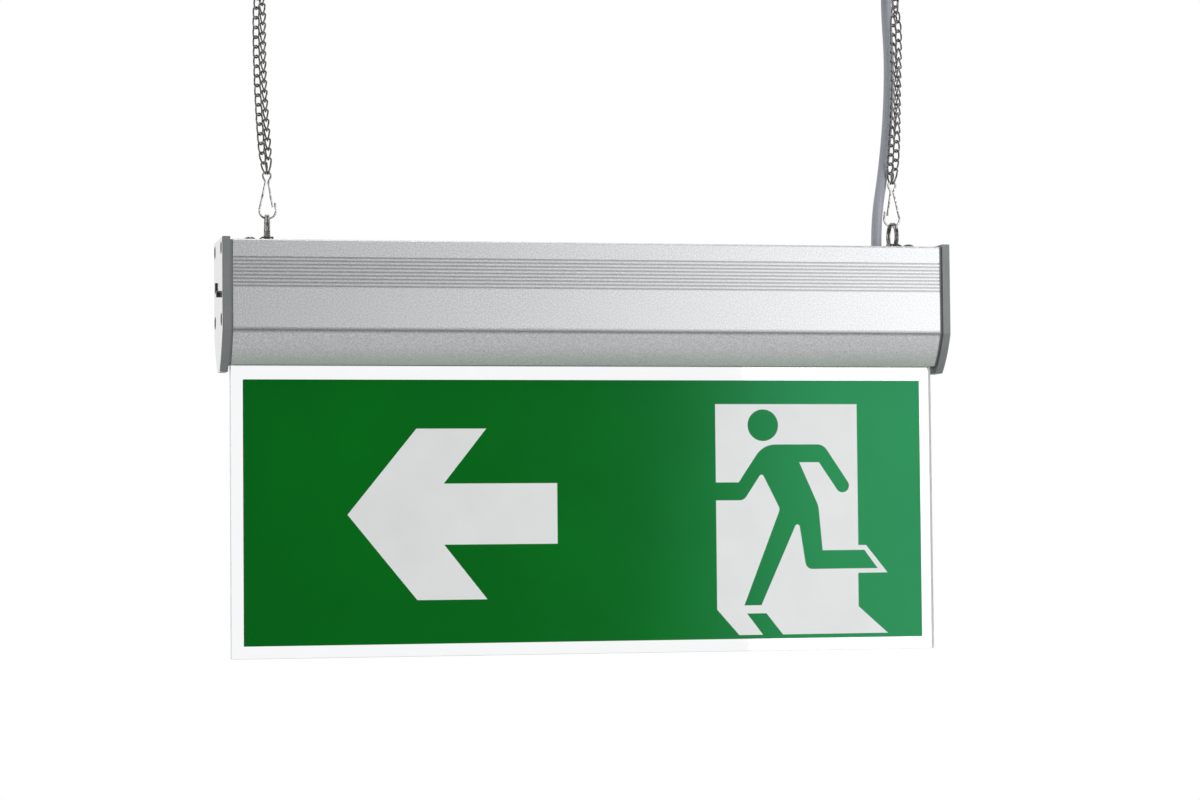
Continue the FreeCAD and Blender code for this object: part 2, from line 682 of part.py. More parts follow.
def make_panel_fixings():
    """The pins that the panel hangs on, the gaskets in its slot, and the light source above its edge."""
    front_end = FreeCAD.Vector(0, -mm("pin_length / 2"), 0)
    pin = Part.makeCylinder(mm("pin_radius"), mm("pin_length"), front_end, -FRONT)
    places = [upright_at(step * mm("pin_spacing"), 0, -mm(PIN_DROP)) for step in (-1, 0, 1)]
    make_group("PanelPins", "panel_pins", placed_copies(pin, places))

    across = (f"(-{GASKET_HALF})", GASKET_HALF)
    face = "(panel_thickness / 2)"
    heights = ("(-housing_height)", "(housing_wall - housing_height)")
    make_block("GasketFront", "panel_gasket_front", across, (f"(-{SLOT_HALF})", f"(-{face})"), heights)
    make_block("GasketRear", "panel_gasket_rear", across, (face, SLOT_HALF), heights)

    across = (f"(-{LED_BOARD_HALF})", LED_BOARD_HALF)
    along = ("(-led_board_width / 2)", "(led_board_width / 2)")
    heights = (f"(-{SHELF_UNDER} - led_board_thickness)", f"(-{SHELF_UNDER})")
    make_block("LedBoard", "led_board", across, along, heights)
    corner = FreeCAD.Vector(-mm("led_length / 2"), -mm("led_width / 2"), -mm("led_height"))
    led = Part.makeBox(mm("led_length"), mm("led_width"), mm("led_height"), corner)
    count = int(mm("led_count"))
    first = mm(f"led_inset - {LED_BOARD_HALF}")
    level = -mm(f"{SHELF_UNDER} + led_board_thickness")
    places = [upright_at(first + index * mm(LED_PITCH), 0, level) for index in range(count)]
    make_group("Leds", "leds", placed_copies(led, places))


def make_gear_tray():
    body = new_body("GearTray")
    section = new_sketch(body, "TraySection", "YZ_Plane")
    half = "(tray_width / 2)"
    inner = "(tray_width / 2 - tray_sheet)"
    floor = f"(-{SHELF_DROP})"
    flange_top = f"({TRAY_TOP} + tray_flange)"
    corners = [(half, floor), (half, flange_top), (inner, flange_top), (inner, TRAY_TOP)]
    corners += [(f"(-{across})", up) for across, up in reversed(corners)]
    draw_loop(section, corners)
    add_pad(body, "TrayPad", section, f"2 * {TRAY_HALF}", midplane=True)
    holes = new_sketch(body, "TrayHoles", "XY_Plane", TRAY_TOP)
    for side, turn in (("", "-"), ("-", "")):
        draw_circle(holes, f"({side}{TRAY_SCREW_X})", f"({turn}tray_screw_offset)",
                    "(tray_screw_radius + screw_clearance)")
    add_pocket(body, "TrayHolesCut", holes, f"tray_sheet + {PAST}")
    return on_lamp(body, "gear_tray")


def make_charger():
    """The charger board on its spacers, with the transformer and the capacitors on it."""
    side = "(board_width / 2)"
    make_block("ChargerBoard", "charger_board", (BOARD_LEFT, BOARD_RIGHT), (f"(-{side})", side),
               (f"({BOARD_TOP} - board_thickness)", BOARD_TOP))
    spacer = Part.makeCylinder(mm("spacer_radius"), mm("spacer_height"))
    places = []
    for across in (mm(f"{BOARD_LEFT} + spacer_inset"), mm(f"{BOARD_RIGHT} - spacer_inset")):
        for along in (-mm(f"{side} - spacer_inset"), mm(f"{side} - spacer_inset")):
            places.append(upright_at(across, along, mm(TRAY_TOP)))
    make_group("BoardSpacers", "board_spacers", placed_copies(spacer, places))

    block = doc.addObject("Part::Box", "TransformerBlock")
    bind(block, Length="transformer_length", Width="transformer_width", Height="transformer_height")
    bind(block, Placement__Base__x=f"{BOARD_CENTRE} - transformer_length")
    bind(block, Placement__Base__y="-transformer_width / 2", Placement__Base__z=BOARD_TOP)
    core = doc.addObject("Part::Chamfer", "Transformer")
    core.Base = block
    doc.recompute()
    top = block.Shape.BoundBox.ZMax
    cut = mm("transformer_chamfer")
    core.Edges = [(number, cut, cut) for number, edge in enumerate(block.Shape.Edges, start=1)
                  if all(abs(vertex.Z - top) < 1e-6 for vertex in edge.Vertexes)]
    on_lamp(core, "transformer")

    can = Part.makeCylinder(mm("capacitor_radius"), mm("capacitor_height"))
    rim = [edge for edge in can.Edges if abs(edge.BoundBox.ZMin - mm("capacitor_height")) < 1e-6]
    can = can.makeFillet(mm("capacitor_edge"), rim)
    spots = [mm(f"{BOARD_CENTRE} + capacitor_pitch * {step}") for step in (1, 2)]
    places = [upright_at(spot, 0, mm(BOARD_TOP)) for spot in spots]
    make_group("Capacitors", "capacitors", placed_copies(can, places))


def make_battery():
    """Two cells end to end in a moulded cradle."""
    body = new_body("BatteryHolder")
    low = TRAY_TOP
    high = f"({TRAY_TOP} + holder_rise)"
    side = "(cell_radius + cell_clearance + holder_wall)"
    outline = new_sketch(body, "HolderOutline", "YZ_Plane", HOLDER_CENTRE)
    draw_rectangle(outline, f"(-{side})", side, low, high)
    add_pad(body, "HolderPad", outline, HOLDER_LENGTH, midplane=True)
    trough = new_sketch(body, "HolderTrough", "YZ_Plane", HOLDER_CENTRE)
    draw_circle(trough, "0", CELL_Z, "(cell_radius + cell_clearance)")
    add_pocket(body, "HolderTroughCut", trough, f"{HOLDER_LENGTH} - 2 * holder_wall", midplane=True)
    on_lamp(body, "battery_holder")

    can = Part.makeCylinder(mm("cell_radius"), mm("cell_length"))
    can = can.makeFillet(mm("cell_edge"), [edge for edge in can.Edges if edge.BoundBox.ZLength < 1e-6])
    nub = Part.makeCylinder(mm("cell_nub_radius"), mm("cell_nub"), FreeCAD.Vector(0, 0, mm("cell_length")))
    cell = can.fuse(nub).removeSplitter()
    along = FreeCAD.Rotation(UP, RIGHT)
    step = mm("cell_length + cell_nub + cell_clearance")
    start = mm(f"{HOLDER_CENTRE} - {HOLDER_LENGTH} / 2 + holder_wall + cell_clearance")
    ends = [FreeCAD.Vector(start + index * step, 0, mm(CELL_Z)) for index in (0, 1)]
    places = [FreeCAD.Placement(end, along) for end in ends]
    make_group("BatteryCells", "battery_cells", placed_copies(cell, places))


def make_terminal_block():
    body = new_body("TerminalBlock")
    outline = new_sketch(body, "TerminalOutline", "YZ_Plane", TERMINAL_CENTRE)
    side = "(terminal_width / 2)"
    draw_rectangle(outline, f"(-{side})", side, TRAY_TOP, f"({TRAY_TOP} + terminal_height)")
    add_pad(body, "TerminalPad", outline, "terminal_length", midplane=True)
    clamps = new_sketch(body, "ClampHoles", "XY_Plane", f"({TRAY_TOP} + terminal_height)")
    for across in ("(-terminal_width / 3)", "0", "(terminal_width / 3)"):
        draw_circle(clamps, f"({TERMINAL_CENTRE} + terminal_length / 4)", across, "wire_hole_radius")
        draw_circle(clamps, f"({TERMINAL_CENTRE} - terminal_length / 4)", across, "wire_hole_radius")
    add_pocket(body, "ClampHolesCut", clamps, "terminal_height / 2")
    on_lamp(body, "terminal_block")


def rounded_path(points, radii):
    """Straight runs joined by tangent arcs, one radius for each inner point."""
    edges = []
    start = points[0]
    for index in range(1, len(points) - 1):
        corner = points[index]
        before = (points[index - 1] - corner).normalize()
        after = (points[index + 1] - corner).normalize()
        half = before.getAngle(after) / 2
        radius = radii[index - 1]
        reach = radius / math.tan(half)
        enter = corner + before * reach
        leave = corner + after * reach
        inward = (before + after).normalize()
        middle = corner + inward * (radius / math.sin(half) - radius)
        if (enter - start).Length > 1e-6:
            edges.append(Part.LineSegment(start, enter).toShape())
        edges.append(Part.Arc(enter, middle, leave).toShape())
        start = leave
    if (points[-1] - start).Length > 1e-6:
        edges.append(Part.LineSegment(start, points[-1]).toShape())
    return Part.Wire(edges)


def swept_wire(path, radius):
    """A round bar along a path."""
    first = path.Edges[0]
    start = first.valueAt(first.FirstParameter)
    along = first.tangentAt(first.FirstParameter)
    section = Part.Wire([Part.Circle(start, along, radius).toShape()])
    return path.makePipeShell([section], True, True)


def make_grommet_and_tail():
    """The rubber grommet in the housing's top and the end of the cable that runs inside to the terminals."""
    top = mm("grommet_flange")
    under = -mm("housing_wall")
    bore = mm("cable_radius + grommet_clearance")
    flange = mm("grommet_flange_radius")
    neck = mm("grommet_neck_radius")
    lead = mm(GLAND_X)
    low = under - top
    grommet = Part.makeCylinder(flange, top, FreeCAD.Vector(lead, 0, 0))
    grommet = grommet.fuse(Part.makeCylinder(neck, -under, FreeCAD.Vector(lead, 0, under)))
    grommet = grommet.fuse(Part.makeCylinder(flange, top, FreeCAD.Vector(lead, 0, low)))
    grommet = grommet.removeSplitter()
    upper = [edge for edge in grommet.Edges if edge.BoundBox.ZMin > top - 1e-6]
    grommet = grommet.makeFillet(top / 2, upper)
    grommet = grommet.cut(Part.makeCylinder(bore, top - low, FreeCAD.Vector(lead, 0, low)))
    make_group("CableGrommet", "cable_grommet", grommet)

    end = mm(f"{TERMINAL_CENTRE} + terminal_length / 2")
    level = mm(f"{TRAY_TOP} + terminal_height / 2")
    points = [FreeCAD.Vector(lead, 0, top), FreeCAD.Vector(lead, 0, level), FreeCAD.Vector(end, 0, level)]
    tail = swept_wire(rounded_path(points, [mm("cable_bend_radius")]), mm("cable_radius"))
    make_group("CableTail", "cable_tail", tail)


def cable_points():
    """The route of the free cable, from the grommet's face to the outlet's nose."""
    base = mm(HOUSING_TOP)
    lead = mm(GLAND_X)
    points = [FreeCAD.Vector(lead, 0, base + mm("grommet_flange"))]
    points += [FreeCAD.Vector(lead + across, away, base + height) for across, away, height in CABLE_ROUTE]
    nose = -mm("outlet_height + outlet_nose")
    points.append(FreeCAD.Vector(mm(OUTLET_X), mm("outlet_nose_y"), nose))
    return points


def make_supply_cable():
    points = cable_points()
    radii = []
    for before, corner, after in zip(points, points[1:], points[2:]):
        half_turn = (math.pi - (before - corner).getAngle(after - corner)) / 2
        shorter = min((before - corner).Length, (after - corner).Length)
        radii.append(0.45 * shorter / math.tan(half_turn))
    path = rounded_path(points, radii)
    cable = swept_wire(path, mm("cable_radius"))
    print("cable radii", [round(radius, 1) for radius in radii], "length", round(path.Length, 2),
          "volume ratio", round(cable.Volume / (math.pi * mm("cable_radius") ** 2 * path.Length), 5))
    make_shape("SupplyCable", "supply_cable", cable)


def make_button_set():
    """The sprung test button, its switch and board, and the indicator's light pipe in the left end cap."""
    inner = mm(f"-{HALF_HOUSING}")
    outer = -mm("lamp_length / 2")
    board_face = inner + mm("post_length")
    stem = Part.makeCylinder(mm("button_radius"), inner - outer + mm("button_proud"),
                             FreeCAD.Vector(outer - mm("button_proud"), 0, 0), RIGHT)
    crown = [edge for edge in stem.Edges if edge.BoundBox.XMax < outer - mm("button_proud") + 1e-6]
    stem = stem.makeFillet(mm("button_crown"), crown)
    gap = mm("button_flange_gap")
    seat = FreeCAD.Vector(inner + gap, 0, 0)
    flange = Part.makeCylinder(mm("button_flange_radius"), mm("button_flange"), seat, RIGHT)
    collar = Part.makeCylinder(mm("button_radius"), gap, FreeCAD.Vector(inner, 0, 0), RIGHT)
    button = stem.fuse([collar, flange]).removeSplitter()
    make_group("TestButton", "test_button", button, y="button_y", z="(-button_drop)")

    plunger_end = inner + gap + mm("button_flange + button_travel + plunger_gap")
    side = mm("switch_side")
    face = plunger_end + mm("plunger_reach")
    case = Part.makeBox(board_face - face, side, side, FreeCAD.Vector(face, -side / 2, -side / 2))
    tip = FreeCAD.Vector(plunger_end, 0, 0)
    plunger = Part.makeCylinder(mm("plunger_radius"), face - plunger_end, tip, RIGHT)
    switch = case.fuse(plunger).removeSplitter()
    make_group("TestSwitch", "test_switch", switch, y="button_y", z="(-button_drop)")

    half = "(button_board_width / 2)"
    near = f"(post_length - {HALF_HOUSING})"
    across = (near, f"({near} + board_thickness)")
    low = "(-button_board_drop - button_board_height / 2)"
    high = "(-button_board_drop + button_board_height / 2)"
    make_block("ButtonBoard", "button_board", across, (f"(-{half})", half), (low, high))
    across = ("(-lamp_length / 2 - lens_proud)", near)
    along = ("(lens_y - lens_width / 2)", "(lens_y + lens_width / 2)")
    heights = ("(-lens_drop - lens_height / 2)", "(-lens_drop + lens_height / 2)")
    make_block("IndicatorLens", "indicator_lens", across, along, heights)


def make_eye_strap(name, label, side):
    """A low bridge over the split ring: a screwed foot outboard and a toe let into the housing inboard."""
    body = new_body(name)
    profile = new_sketch(body, f"{name}Profile", "XZ_Plane")
    end = "(strap_screw_x + strap_foot_end)"
    foot = "(bridge_half_length + strap_slope)"
    over = "(strap_rise + strap_sheet)"
    toe = "(-bridge_half_length - strap_sheet)"
    corners = [
        (end, "0"),
        (end, "strap_sheet"),
        (f"({foot} + strap_sheet / 2)", "strap_sheet"),
        ("(bridge_half_length + strap_sheet / 3)", over),
        (toe, over),
        (toe, "(-toe_depth)"),
        ("(-bridge_half_length)", "(-toe_depth)"),
        ("(-bridge_half_length)", "strap_rise"),
        ("bridge_half_length", "strap_rise"),
        (foot, "0"),
    ]
    draw_loop(profile, corners)
    add_pad(body, f"{name}Pad", profile, "strap_width", midplane=True)
    waist = new_sketch(body, f"{name}Waist", "XY_Plane", f"({over} + {PAST})")
    for turn in ("", "-"):
        near = f"({turn}(bridge_width / 2))"
        far = f"({turn}(strap_width / 2 + {PAST}))"
        inboard = f"(-bridge_half_length - strap_sheet - {PAST})"
        corners = [(inboard, near), ("bridge_half_length", near), (f"({foot} + {PAST})", far), (inboard, far)]
        draw_loop(waist, corners)
    add_pocket(body, f"{name}WaistCut", waist, f"{over} + toe_depth + 2 * {PAST}")
    hole = new_sketch(body, f"{name}Hole", "XY_Plane", over)
    draw_circle(hole, "strap_screw_x", "0", "(strap_screw_radius + screw_clearance)")
    add_pocket(body, f"{name}HoleCut", hole, f"{over} + {PAST}")
    if side < 0:
        body.Placement.Rotation = FreeCAD.Rotation(UP, 180)
    bind(body, Placement__Base__x=f"{side} * {RING_X}")
    return on_lamp(body, label)


def faceted_wire(stations, radius, flats, closed):
    """Flat-sided wire through stations, each a centre, the way along the wire and the way out of its bend."""
    rings = []
    for centre, along, out in stations:
        out = (out - along * out.dot(along)).normalize()
        beside = along.cross(out)
        turns = [2 * math.pi * step / flats for step in range(flats)]
        rings.append([centre + (out * math.cos(turn) + beside * math.sin(turn)) * radius for turn in turns])
    pairs = list(zip(rings, rings[1:]))
    loops = []
    if closed:
        pairs.append((rings[-1], rings[0]))
    else:
        loops = [rings[0], rings[-1]]
    for ring, following in pairs:
        for step in range(flats):
            other = (step + 1) % flats
            loops.append([ring[step], ring[other], following[other]])
            loops.append([ring[step], following[other], following[step]])
    faces = [Part.Face(Part.makePolygon(loop + loop[:1])) for loop in loops]
    solid = Part.Solid(Part.makeShell(faces))
    if solid.Volume < 0:
        solid.reverse()
    return solid


def make_split_ring(name, label, side):
    """Two turns of wire side by side, standing across the strap's bridge."""
    radius = mm("ring_radius")
    pitch = 2 * mm("ring_wire") + mm("contact_gap")
    turns = mm("ring_turns")
    count = round(RING_STATIONS * turns)
    stations = []
    for index in range(count + 1):
        wound = turns * index / count
        turn = 2 * math.pi * wound
        out = FreeCAD.Vector(math.cos(turn), math.sin(turn), 0)
        centre = out * radius + UP * pitch * (wound - turns / 2)
        along = (UP.cross(out) * 2 * math.pi * radius + UP * pitch).normalize()
        stations.append((centre, along, out))
    coil = faceted_wire(stations, mm("ring_wire"), RING_FLATS, closed=False)
    turn = FreeCAD.Rotation(UP, RIGHT) * FreeCAD.Rotation(UP, mm("ring_start"))
    make_shape(name, label, coil, x=f"{side} * {RING_X}", z=RING_CENTRE, rotation=turn)


def make_snap_hook(name, label, side):
    """One bent wire: eye, neck, pear-shaped bow and the tip that the sprung arm closes behind."""
    outline = [
        ("snap_arm_x", "snap_arm_height"),
        ("snap_neck_half", "snap_neck_height"),
        ("snap_eye_half", "snap_height"),
        ("(-snap_eye_half)", "snap_height"),
        ("(-snap_neck_half)", "snap_neck_height"),
        ("(-snap_bow_half)", "0"),
        ("snap_bow_half", "0"),
        ("snap_tip_x", "snap_tip_height"),
    ]
    points = [FreeCAD.Vector(-side * mm(across), 0, mm(up)) for across, up in outline]
    bends = ["snap_neck_radius", "snap_eye_radius", "snap_eye_radius", "snap_neck_radius"]
    radii = [mm(radius) for radius in bends + 2 * ["snap_bow_radius"]]
    hook = swept_wire(rounded_path(points, radii), mm("snap_wire"))
    make_shape(name, label, hook, x=f"{side} * {RING_X}", z=SNAP_BOW)


def curb_link():
    """One twisted link of faceted wire, upright about the origin."""
    wire = mm("link_wire")
    bow = mm("link_width / 2") - wire
    half = mm(LINK_LENGTH) / 2
    straight = half - bow
    twist = math.radians(mm("link_twist")) / 2
    turns = [math.radians(angle) for angle in LINK_BENDS]
    flat = [(bow * math.cos(turn), straight + bow * math.sin(turn)) for turn in turns]
    flat += [(-across, -up) for across, up in flat]
    centres = []
    for across, up in flat:
        angle = twist * up / half
        centres.append(FreeCAD.Vector(across * math.cos(angle), across * math.sin(angle), up))
    stations = []
    for index, centre in enumerate(centres):
        along = (centres[(index + 1) % len(centres)] - centres[index - 1]).normalize()
        up = flat[index][1]
        out = FreeCAD.Vector(centre.x, centre.y, up - math.copysign(straight, up))
        stations.append((centre, along, out))
    return faceted_wire(stations, wire, LINK_FLATS, closed=True)


def strand_joint(step, side, hand):
    """Where two links of a strand meet; the strand leans out from the snap hook to the ceiling hook."""
    count = int(mm("link_count"))
    rise = step / count
    across = min(mm("strand_half_gap"), mm("strand_eye_offset") + step * mm("strand_step"),
                 (count - step) * mm("strand_step"))
    away = min(mm("strand_depth"), step * mm("strand_step"))
    base = side * (mm(RING_X) + rise * mm("hang_lean"))
    height = mm(CHAIN_LOW) + (mm(LINK_LENGTH) - mm("link_pitch")) / 2 + step * mm("link_pitch")
    return FreeCAD.Vector(base + hand * across, hand * away, height)


def make_strand(name, label, side, hand, facing):
    """A strand of links; in its middle the links face a given way, at its ends they bear square."""
    link = curb_link()
    count = int(mm("link_count"))
    square = -mm("link_twist") / 2
    places = []
    for index in range(count):
        low = strand_joint(index, side, hand)
        high = strand_joint(index + 1, side, hand)
        turn = square + (facing - square) * math.sin(math.pi * index / (count - 1))
        rotation = FreeCAD.Rotation(UP, high - low) * FreeCAD.Rotation(UP, turn)
        places.append(FreeCAD.Placement((low + high) / 2, rotation))
    make_shape(name, label, placed_copies(link, places))


def make_shackle_ring(name, label, side):
    """The plain ring between a ceiling hook and the two strands."""
    ring = doc.addObject("Part::Torus", name)
    bind(ring, Radius1="shackle_radius", Radius2="shackle_wire")
    ring.Placement.Rotation = FreeCAD.Rotation(UP, RIGHT)
    bind(ring, Placement__Base__x=f"{side} * {HOOK_X}", Placement__Base__z=SHACKLE_CENTRE)
    keep(ring, label)


def make_ceiling_hook(name, label, side):
    """An open hook of bent wire on an oblong base plate with two fixing holes."""
    outline = [
        ("0", "(-hook_base / 2)"),
        ("0", "(-hook_neck_drop)"),
        ("(-hook_bow_half)", "(-hook_neck_drop - hook_bow_half / 2)"),
        ("(-hook_bow_half)", "(-hook_drop)"),
        ("hook_bow_half", "(-hook_drop)"),
        ("hook_bow_half", "(hook_tip_rise - hook_drop)"),
    ]
    points = [FreeCAD.Vector(mm(across), 0, mm(up)) for across, up in outline]
    bow = mm("hook_bow_radius")
    hook = swept_wire(rounded_path(points, [bow / 2.5, bow / 2.5, bow, bow]), mm("hook_wire"))
    half = mm("hook_base_length / 2")
    edge = mm("hook_base_width / 2")
    low = -mm("hook_base")
    base = Part.makeBox(2 * (half - edge), 2 * edge, mm("hook_base"), FreeCAD.Vector(edge - half, -edge, low))
    for across in (edge - half, half - edge):
        base = base.fuse(Part.makeCylinder(edge, mm("hook_base"), FreeCAD.Vector(across, 0, low)))
    for across in (-mm("hook_hole_spacing / 2"), mm("hook_hole_spacing / 2")):
        place = FreeCAD.Vector(across, 0, low)
        base = base.cut(Part.makeCylinder(mm("hook_hole_radius"), mm("hook_base"), place))
    solid = base.fuse(hook).removeSplitter()
    turn = FreeCAD.Rotation(UP, 0 if side > 0 else 180)
    make_shape(name, label, solid, x=f"{side} * {HOOK_X}", rotation=turn)


def make_ceiling_outlet():
    """A small box on the ceiling with a nose that the supply cable runs into."""
    body = new_body("CeilingOutlet")
    outline = new_sketch(body, "OutletOutline", "XY_Plane")
    half = "(outlet_length / 2)"
    side = "(outlet_width / 2)"
    draw_rectangle(outline, f"(-{half})", half, f"(-{side})", side)
    blank = add_pad(body, "OutletPad", outline, "outlet_height", reverse=True)

    def is_side_edge(edge):
        return edge.BoundBox.ZLength > mm("outlet_height") - 1e-6

    add_fillet(body, "OutletCorners", blank, is_side_edge, "outlet_edge")
    nose = new_sketch(body, "OutletNose", "XY_Plane", "(-outlet_height)")
    draw_circle(nose, "0", "(outlet_nose_y - outlet_y)", "outlet_nose_radius")
    add_pad(body, "OutletNosePad", nose, "outlet_nose", reverse=True)
    bind(body, Placement__Base__x=OUTLET_X, Placement__Base__y="outlet_y")
    keep(body, "ceiling_outlet")


def build():
    make_housing_extrusion()
    make_end_cap("EndCapLeft", "end_cap_left", -1)
    make_end_cap("EndCapRight", "end_cap_right", 1)
    make_acrylic_panel()
    make_legend_films()
    make_screws()
    make_panel_fixings()
    make_gear_tray()
    make_charger()
    make_battery()
    make_terminal_block()
    make_grommet_and_tail()
    make_button_set()
    for word, side in (("left", -1), ("right", 1)):
        title = word.capitalize()
        make_eye_strap(f"EyeStrap{title}", f"eye_strap_{word}", side)
        make_split_ring(f"SplitRing{title}", f"split_ring_{word}", side)
        make_snap_hook(f"SnapHook{title}", f"snap_hook_{word}", side)
        make_strand(f"Chain{title}Near", f"chain_{word}_near_strand", side, -1, mm("near_facing"))
        make_strand(f"Chain{title}Far", f"chain_{word}_far_strand", side, 1, mm("far_facing"))
        make_shackle_ring(f"ShackleRing{title}", f"shackle_ring_{word}", side)
        make_ceiling_hook(f"CeilingHook{title}", f"ceiling_hook_{word}", side)
    make_ceiling_outlet()
    make_supply_cable()


def export():
    """Check every object and every sub-part, then write one file for each sub-part."""
    doc.recompute()
    for item in doc.Objects:
        if "Invalid" in item.State or "Error" in item.State:
            raise RuntimeError(f"{item.Label} failed: {item.State}")
    for item in SUBPARTS:
        shape = item.Shape
        if shape.isNull() or not shape.isValid() or not shape.Solids:
            raise RuntimeError(f"{item.Label} has no valid solid")
    os.makedirs("parts", exist_ok=True)
    for item in SUBPARTS:
        item.Shape.exportStep(f"parts/{item.Label}.step")


build()
export()
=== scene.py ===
"""Dresses the chain-hung exit sign: finishes, printed legend, chains, split rings, cable and studio."""
import math

import bpy
from bpy.props import FloatProperty, FloatVectorProperty, IntProperty, PointerProperty
from mathutils import Matrix, Quaternion, Vector


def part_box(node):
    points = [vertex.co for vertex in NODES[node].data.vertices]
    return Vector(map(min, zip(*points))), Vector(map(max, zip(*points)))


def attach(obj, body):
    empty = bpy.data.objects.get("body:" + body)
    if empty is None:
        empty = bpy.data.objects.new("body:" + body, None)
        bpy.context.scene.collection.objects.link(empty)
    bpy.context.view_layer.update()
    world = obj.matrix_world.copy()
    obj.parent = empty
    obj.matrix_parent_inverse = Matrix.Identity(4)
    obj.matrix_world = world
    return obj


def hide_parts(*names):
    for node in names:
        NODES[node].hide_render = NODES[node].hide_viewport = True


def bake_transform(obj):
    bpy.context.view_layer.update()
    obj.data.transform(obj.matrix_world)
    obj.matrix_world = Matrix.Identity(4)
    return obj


bl_info = {
    "name": "Exit sign dresser",
    "version": (1, 0, 0),
    "blender": (4, 5, 0),
    "location": "3D View > Sidebar > Exit sign",
    "description": "Finishes, printed legend, chains, rings, cable and studio of a chain-hung exit sign",
    "category": "Object",
}

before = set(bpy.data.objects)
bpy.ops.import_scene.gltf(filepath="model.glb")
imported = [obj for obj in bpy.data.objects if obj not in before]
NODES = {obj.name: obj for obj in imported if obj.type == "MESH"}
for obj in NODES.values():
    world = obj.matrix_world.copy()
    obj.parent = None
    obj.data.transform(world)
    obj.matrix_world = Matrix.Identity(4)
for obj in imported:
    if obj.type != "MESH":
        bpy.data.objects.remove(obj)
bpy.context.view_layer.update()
MM = 0.001

HOUSING_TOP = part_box("housing_extrusion")[1].z
FILM_LOW, FILM_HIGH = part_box("legend_film_front")
FILM_MIDDLE = (FILM_LOW + FILM_HIGH) / 2

# Depths below the housing's top: where its face turns under, its foot, and the fine grooves along it.
KINK_DROP = 43.1 * MM
FOOT_DROP = 58.8 * MM
GROOVE_DROP = 8.7 * MM
GROOVE_PITCH = 1.7 * MM
GROOVE_WIDTH = 0.8 * MM
GROOVE_COUNT = 9

# How deep the polished face of an end cap and the sawn edges of the panel reach into their part.
CAP_FACE_DEPTH = 0.4 * MM
SAWN_EDGE_DEPTH = 0.05 * MM

# How each strand hangs: its side of the chain (-1 is left and in front, 1 is right and behind),
# and how far its links have turned half way up, in degrees.
STRANDS = {
    ("left", "near"): (-1, 8), ("left", "far"): (1, -65),
    ("right", "near"): (-1, 40), ("right", "far"): (1, 50),
}
# A far strand has one link fewer. Its two end links are longer by half a pitch each, so the strands stagger.
END_SPAN = 1.5

# The supply cable: the mouth of its gland, measured up from the housing's top, and its bends above,
# in millimetres from the housing's top below the gland.
GLAND = Vector((148.0, 0.0, 0.8)) * MM
CABLE_ROUTE = [(0.0, 0.0, 15.0), (5.8, 5.0, 40.0), (9.8, 8.2, 70.0), (11.4, 10.6, 98.0), (10.9, 13.0, 119.0)]

# How finely the round pieces are modelled.
LINK_SEGMENTS = 20
LINK_SIDES = 10
RING_STEPS = 96
RING_SIDES = 14
CABLE_STEPS = 24
CABLE_BEVEL = 6

# The white print in millimetres from the middle of the film: corners with the radius that rounds each.
ARROW = [
    (-118.9, -1.3, 0.0), (-85.3, 39.9, 0.0), (-51.1, 39.9, 0.0), (-72.1, 13.4, 0.0), (-16.3, 13.4, 0.0),
    (-16.3, -16.0, 0.0), (-72.1, -16.0, 0.0), (-51.1, -42.5, 0.0), (-85.3, -42.5, 0.0),
]
DOORWAY = [
    (63.3, 51.8, 0.0), (135.8, 51.8, 0.0), (135.8, -18.0, 0.0), (139.8, -18.0, 0.0), (150.8, -31.7, 0.0),
    (135.6, -31.7, 0.0), (135.6, -48.3, 0.0), (150.5, -61.5, 0.0), (96.6, -61.6, 0.0), (88.3, -51.1, 0.0),
    (78.4, -51.1, 0.0), (86.4, -61.6, 0.0), (74.4, -61.6, 0.0), (63.3, -49.0, 0.0),
]
# The figure is cut out of the doorway. Its hand is on the doorway's left side, so one outline runs on.
FIGURE = [
    (63.3, 4.5, 0.0), (77.5, 4.5, 4.0), (86.7, 18.2, 1.2), (95.8, 0.1, 3.5), (77.1, -47.1, 0.0),
    (85.8, -47.1, 0.0), (105.2, -4.6, 1.2), (109.0, -29.6, 3.5), (145.7, -29.5, 0.0), (138.9, -20.4, 0.0),
    (117.4, -20.4, 0.0), (115.5, 1.6, 12.0), (105.9, 23.1, 0.0), (116.0, 23.1, 0.0), (127.0, 6.9, 3.38),
    (132.7, 10.5, 3.38), (118.4, 31.9, 6.0), (87.5, 31.9, 12.0), (74.9, 13.3, 0.0), (63.3, 13.3, 0.0),
]
# The figure's head: middle and radius.
HEAD = (87.5, 41.4, 7.8)

# Lamps: place, width in metres, and the studio setting that holds the power.
LAMPS = {
    "front_lamp": ((0.90, -1.25, -0.10), 1.0, "front_power"),
    "left_lamp": ((-1.2, 0.35, -0.15), 0.5, "left_power"),
    "top_lamp": ((-0.1, -0.35, 0.9), 0.9, "top_power"),
}
FLOOR_HEIGHT = -0.95
FLOOR_RADIUS = 2.6
FLOOR_SIDES = 96
# The floor fades to white between these distances, from this glow to a full one.
FADE_START = 1.0
FADE_END = 2.5
FADE_GLOW = 0.2
# Where gloss sees the dim room in front end and the white behind begin, on the way that it looks.
DIM_END = -0.45
WHITE_START = 0.05

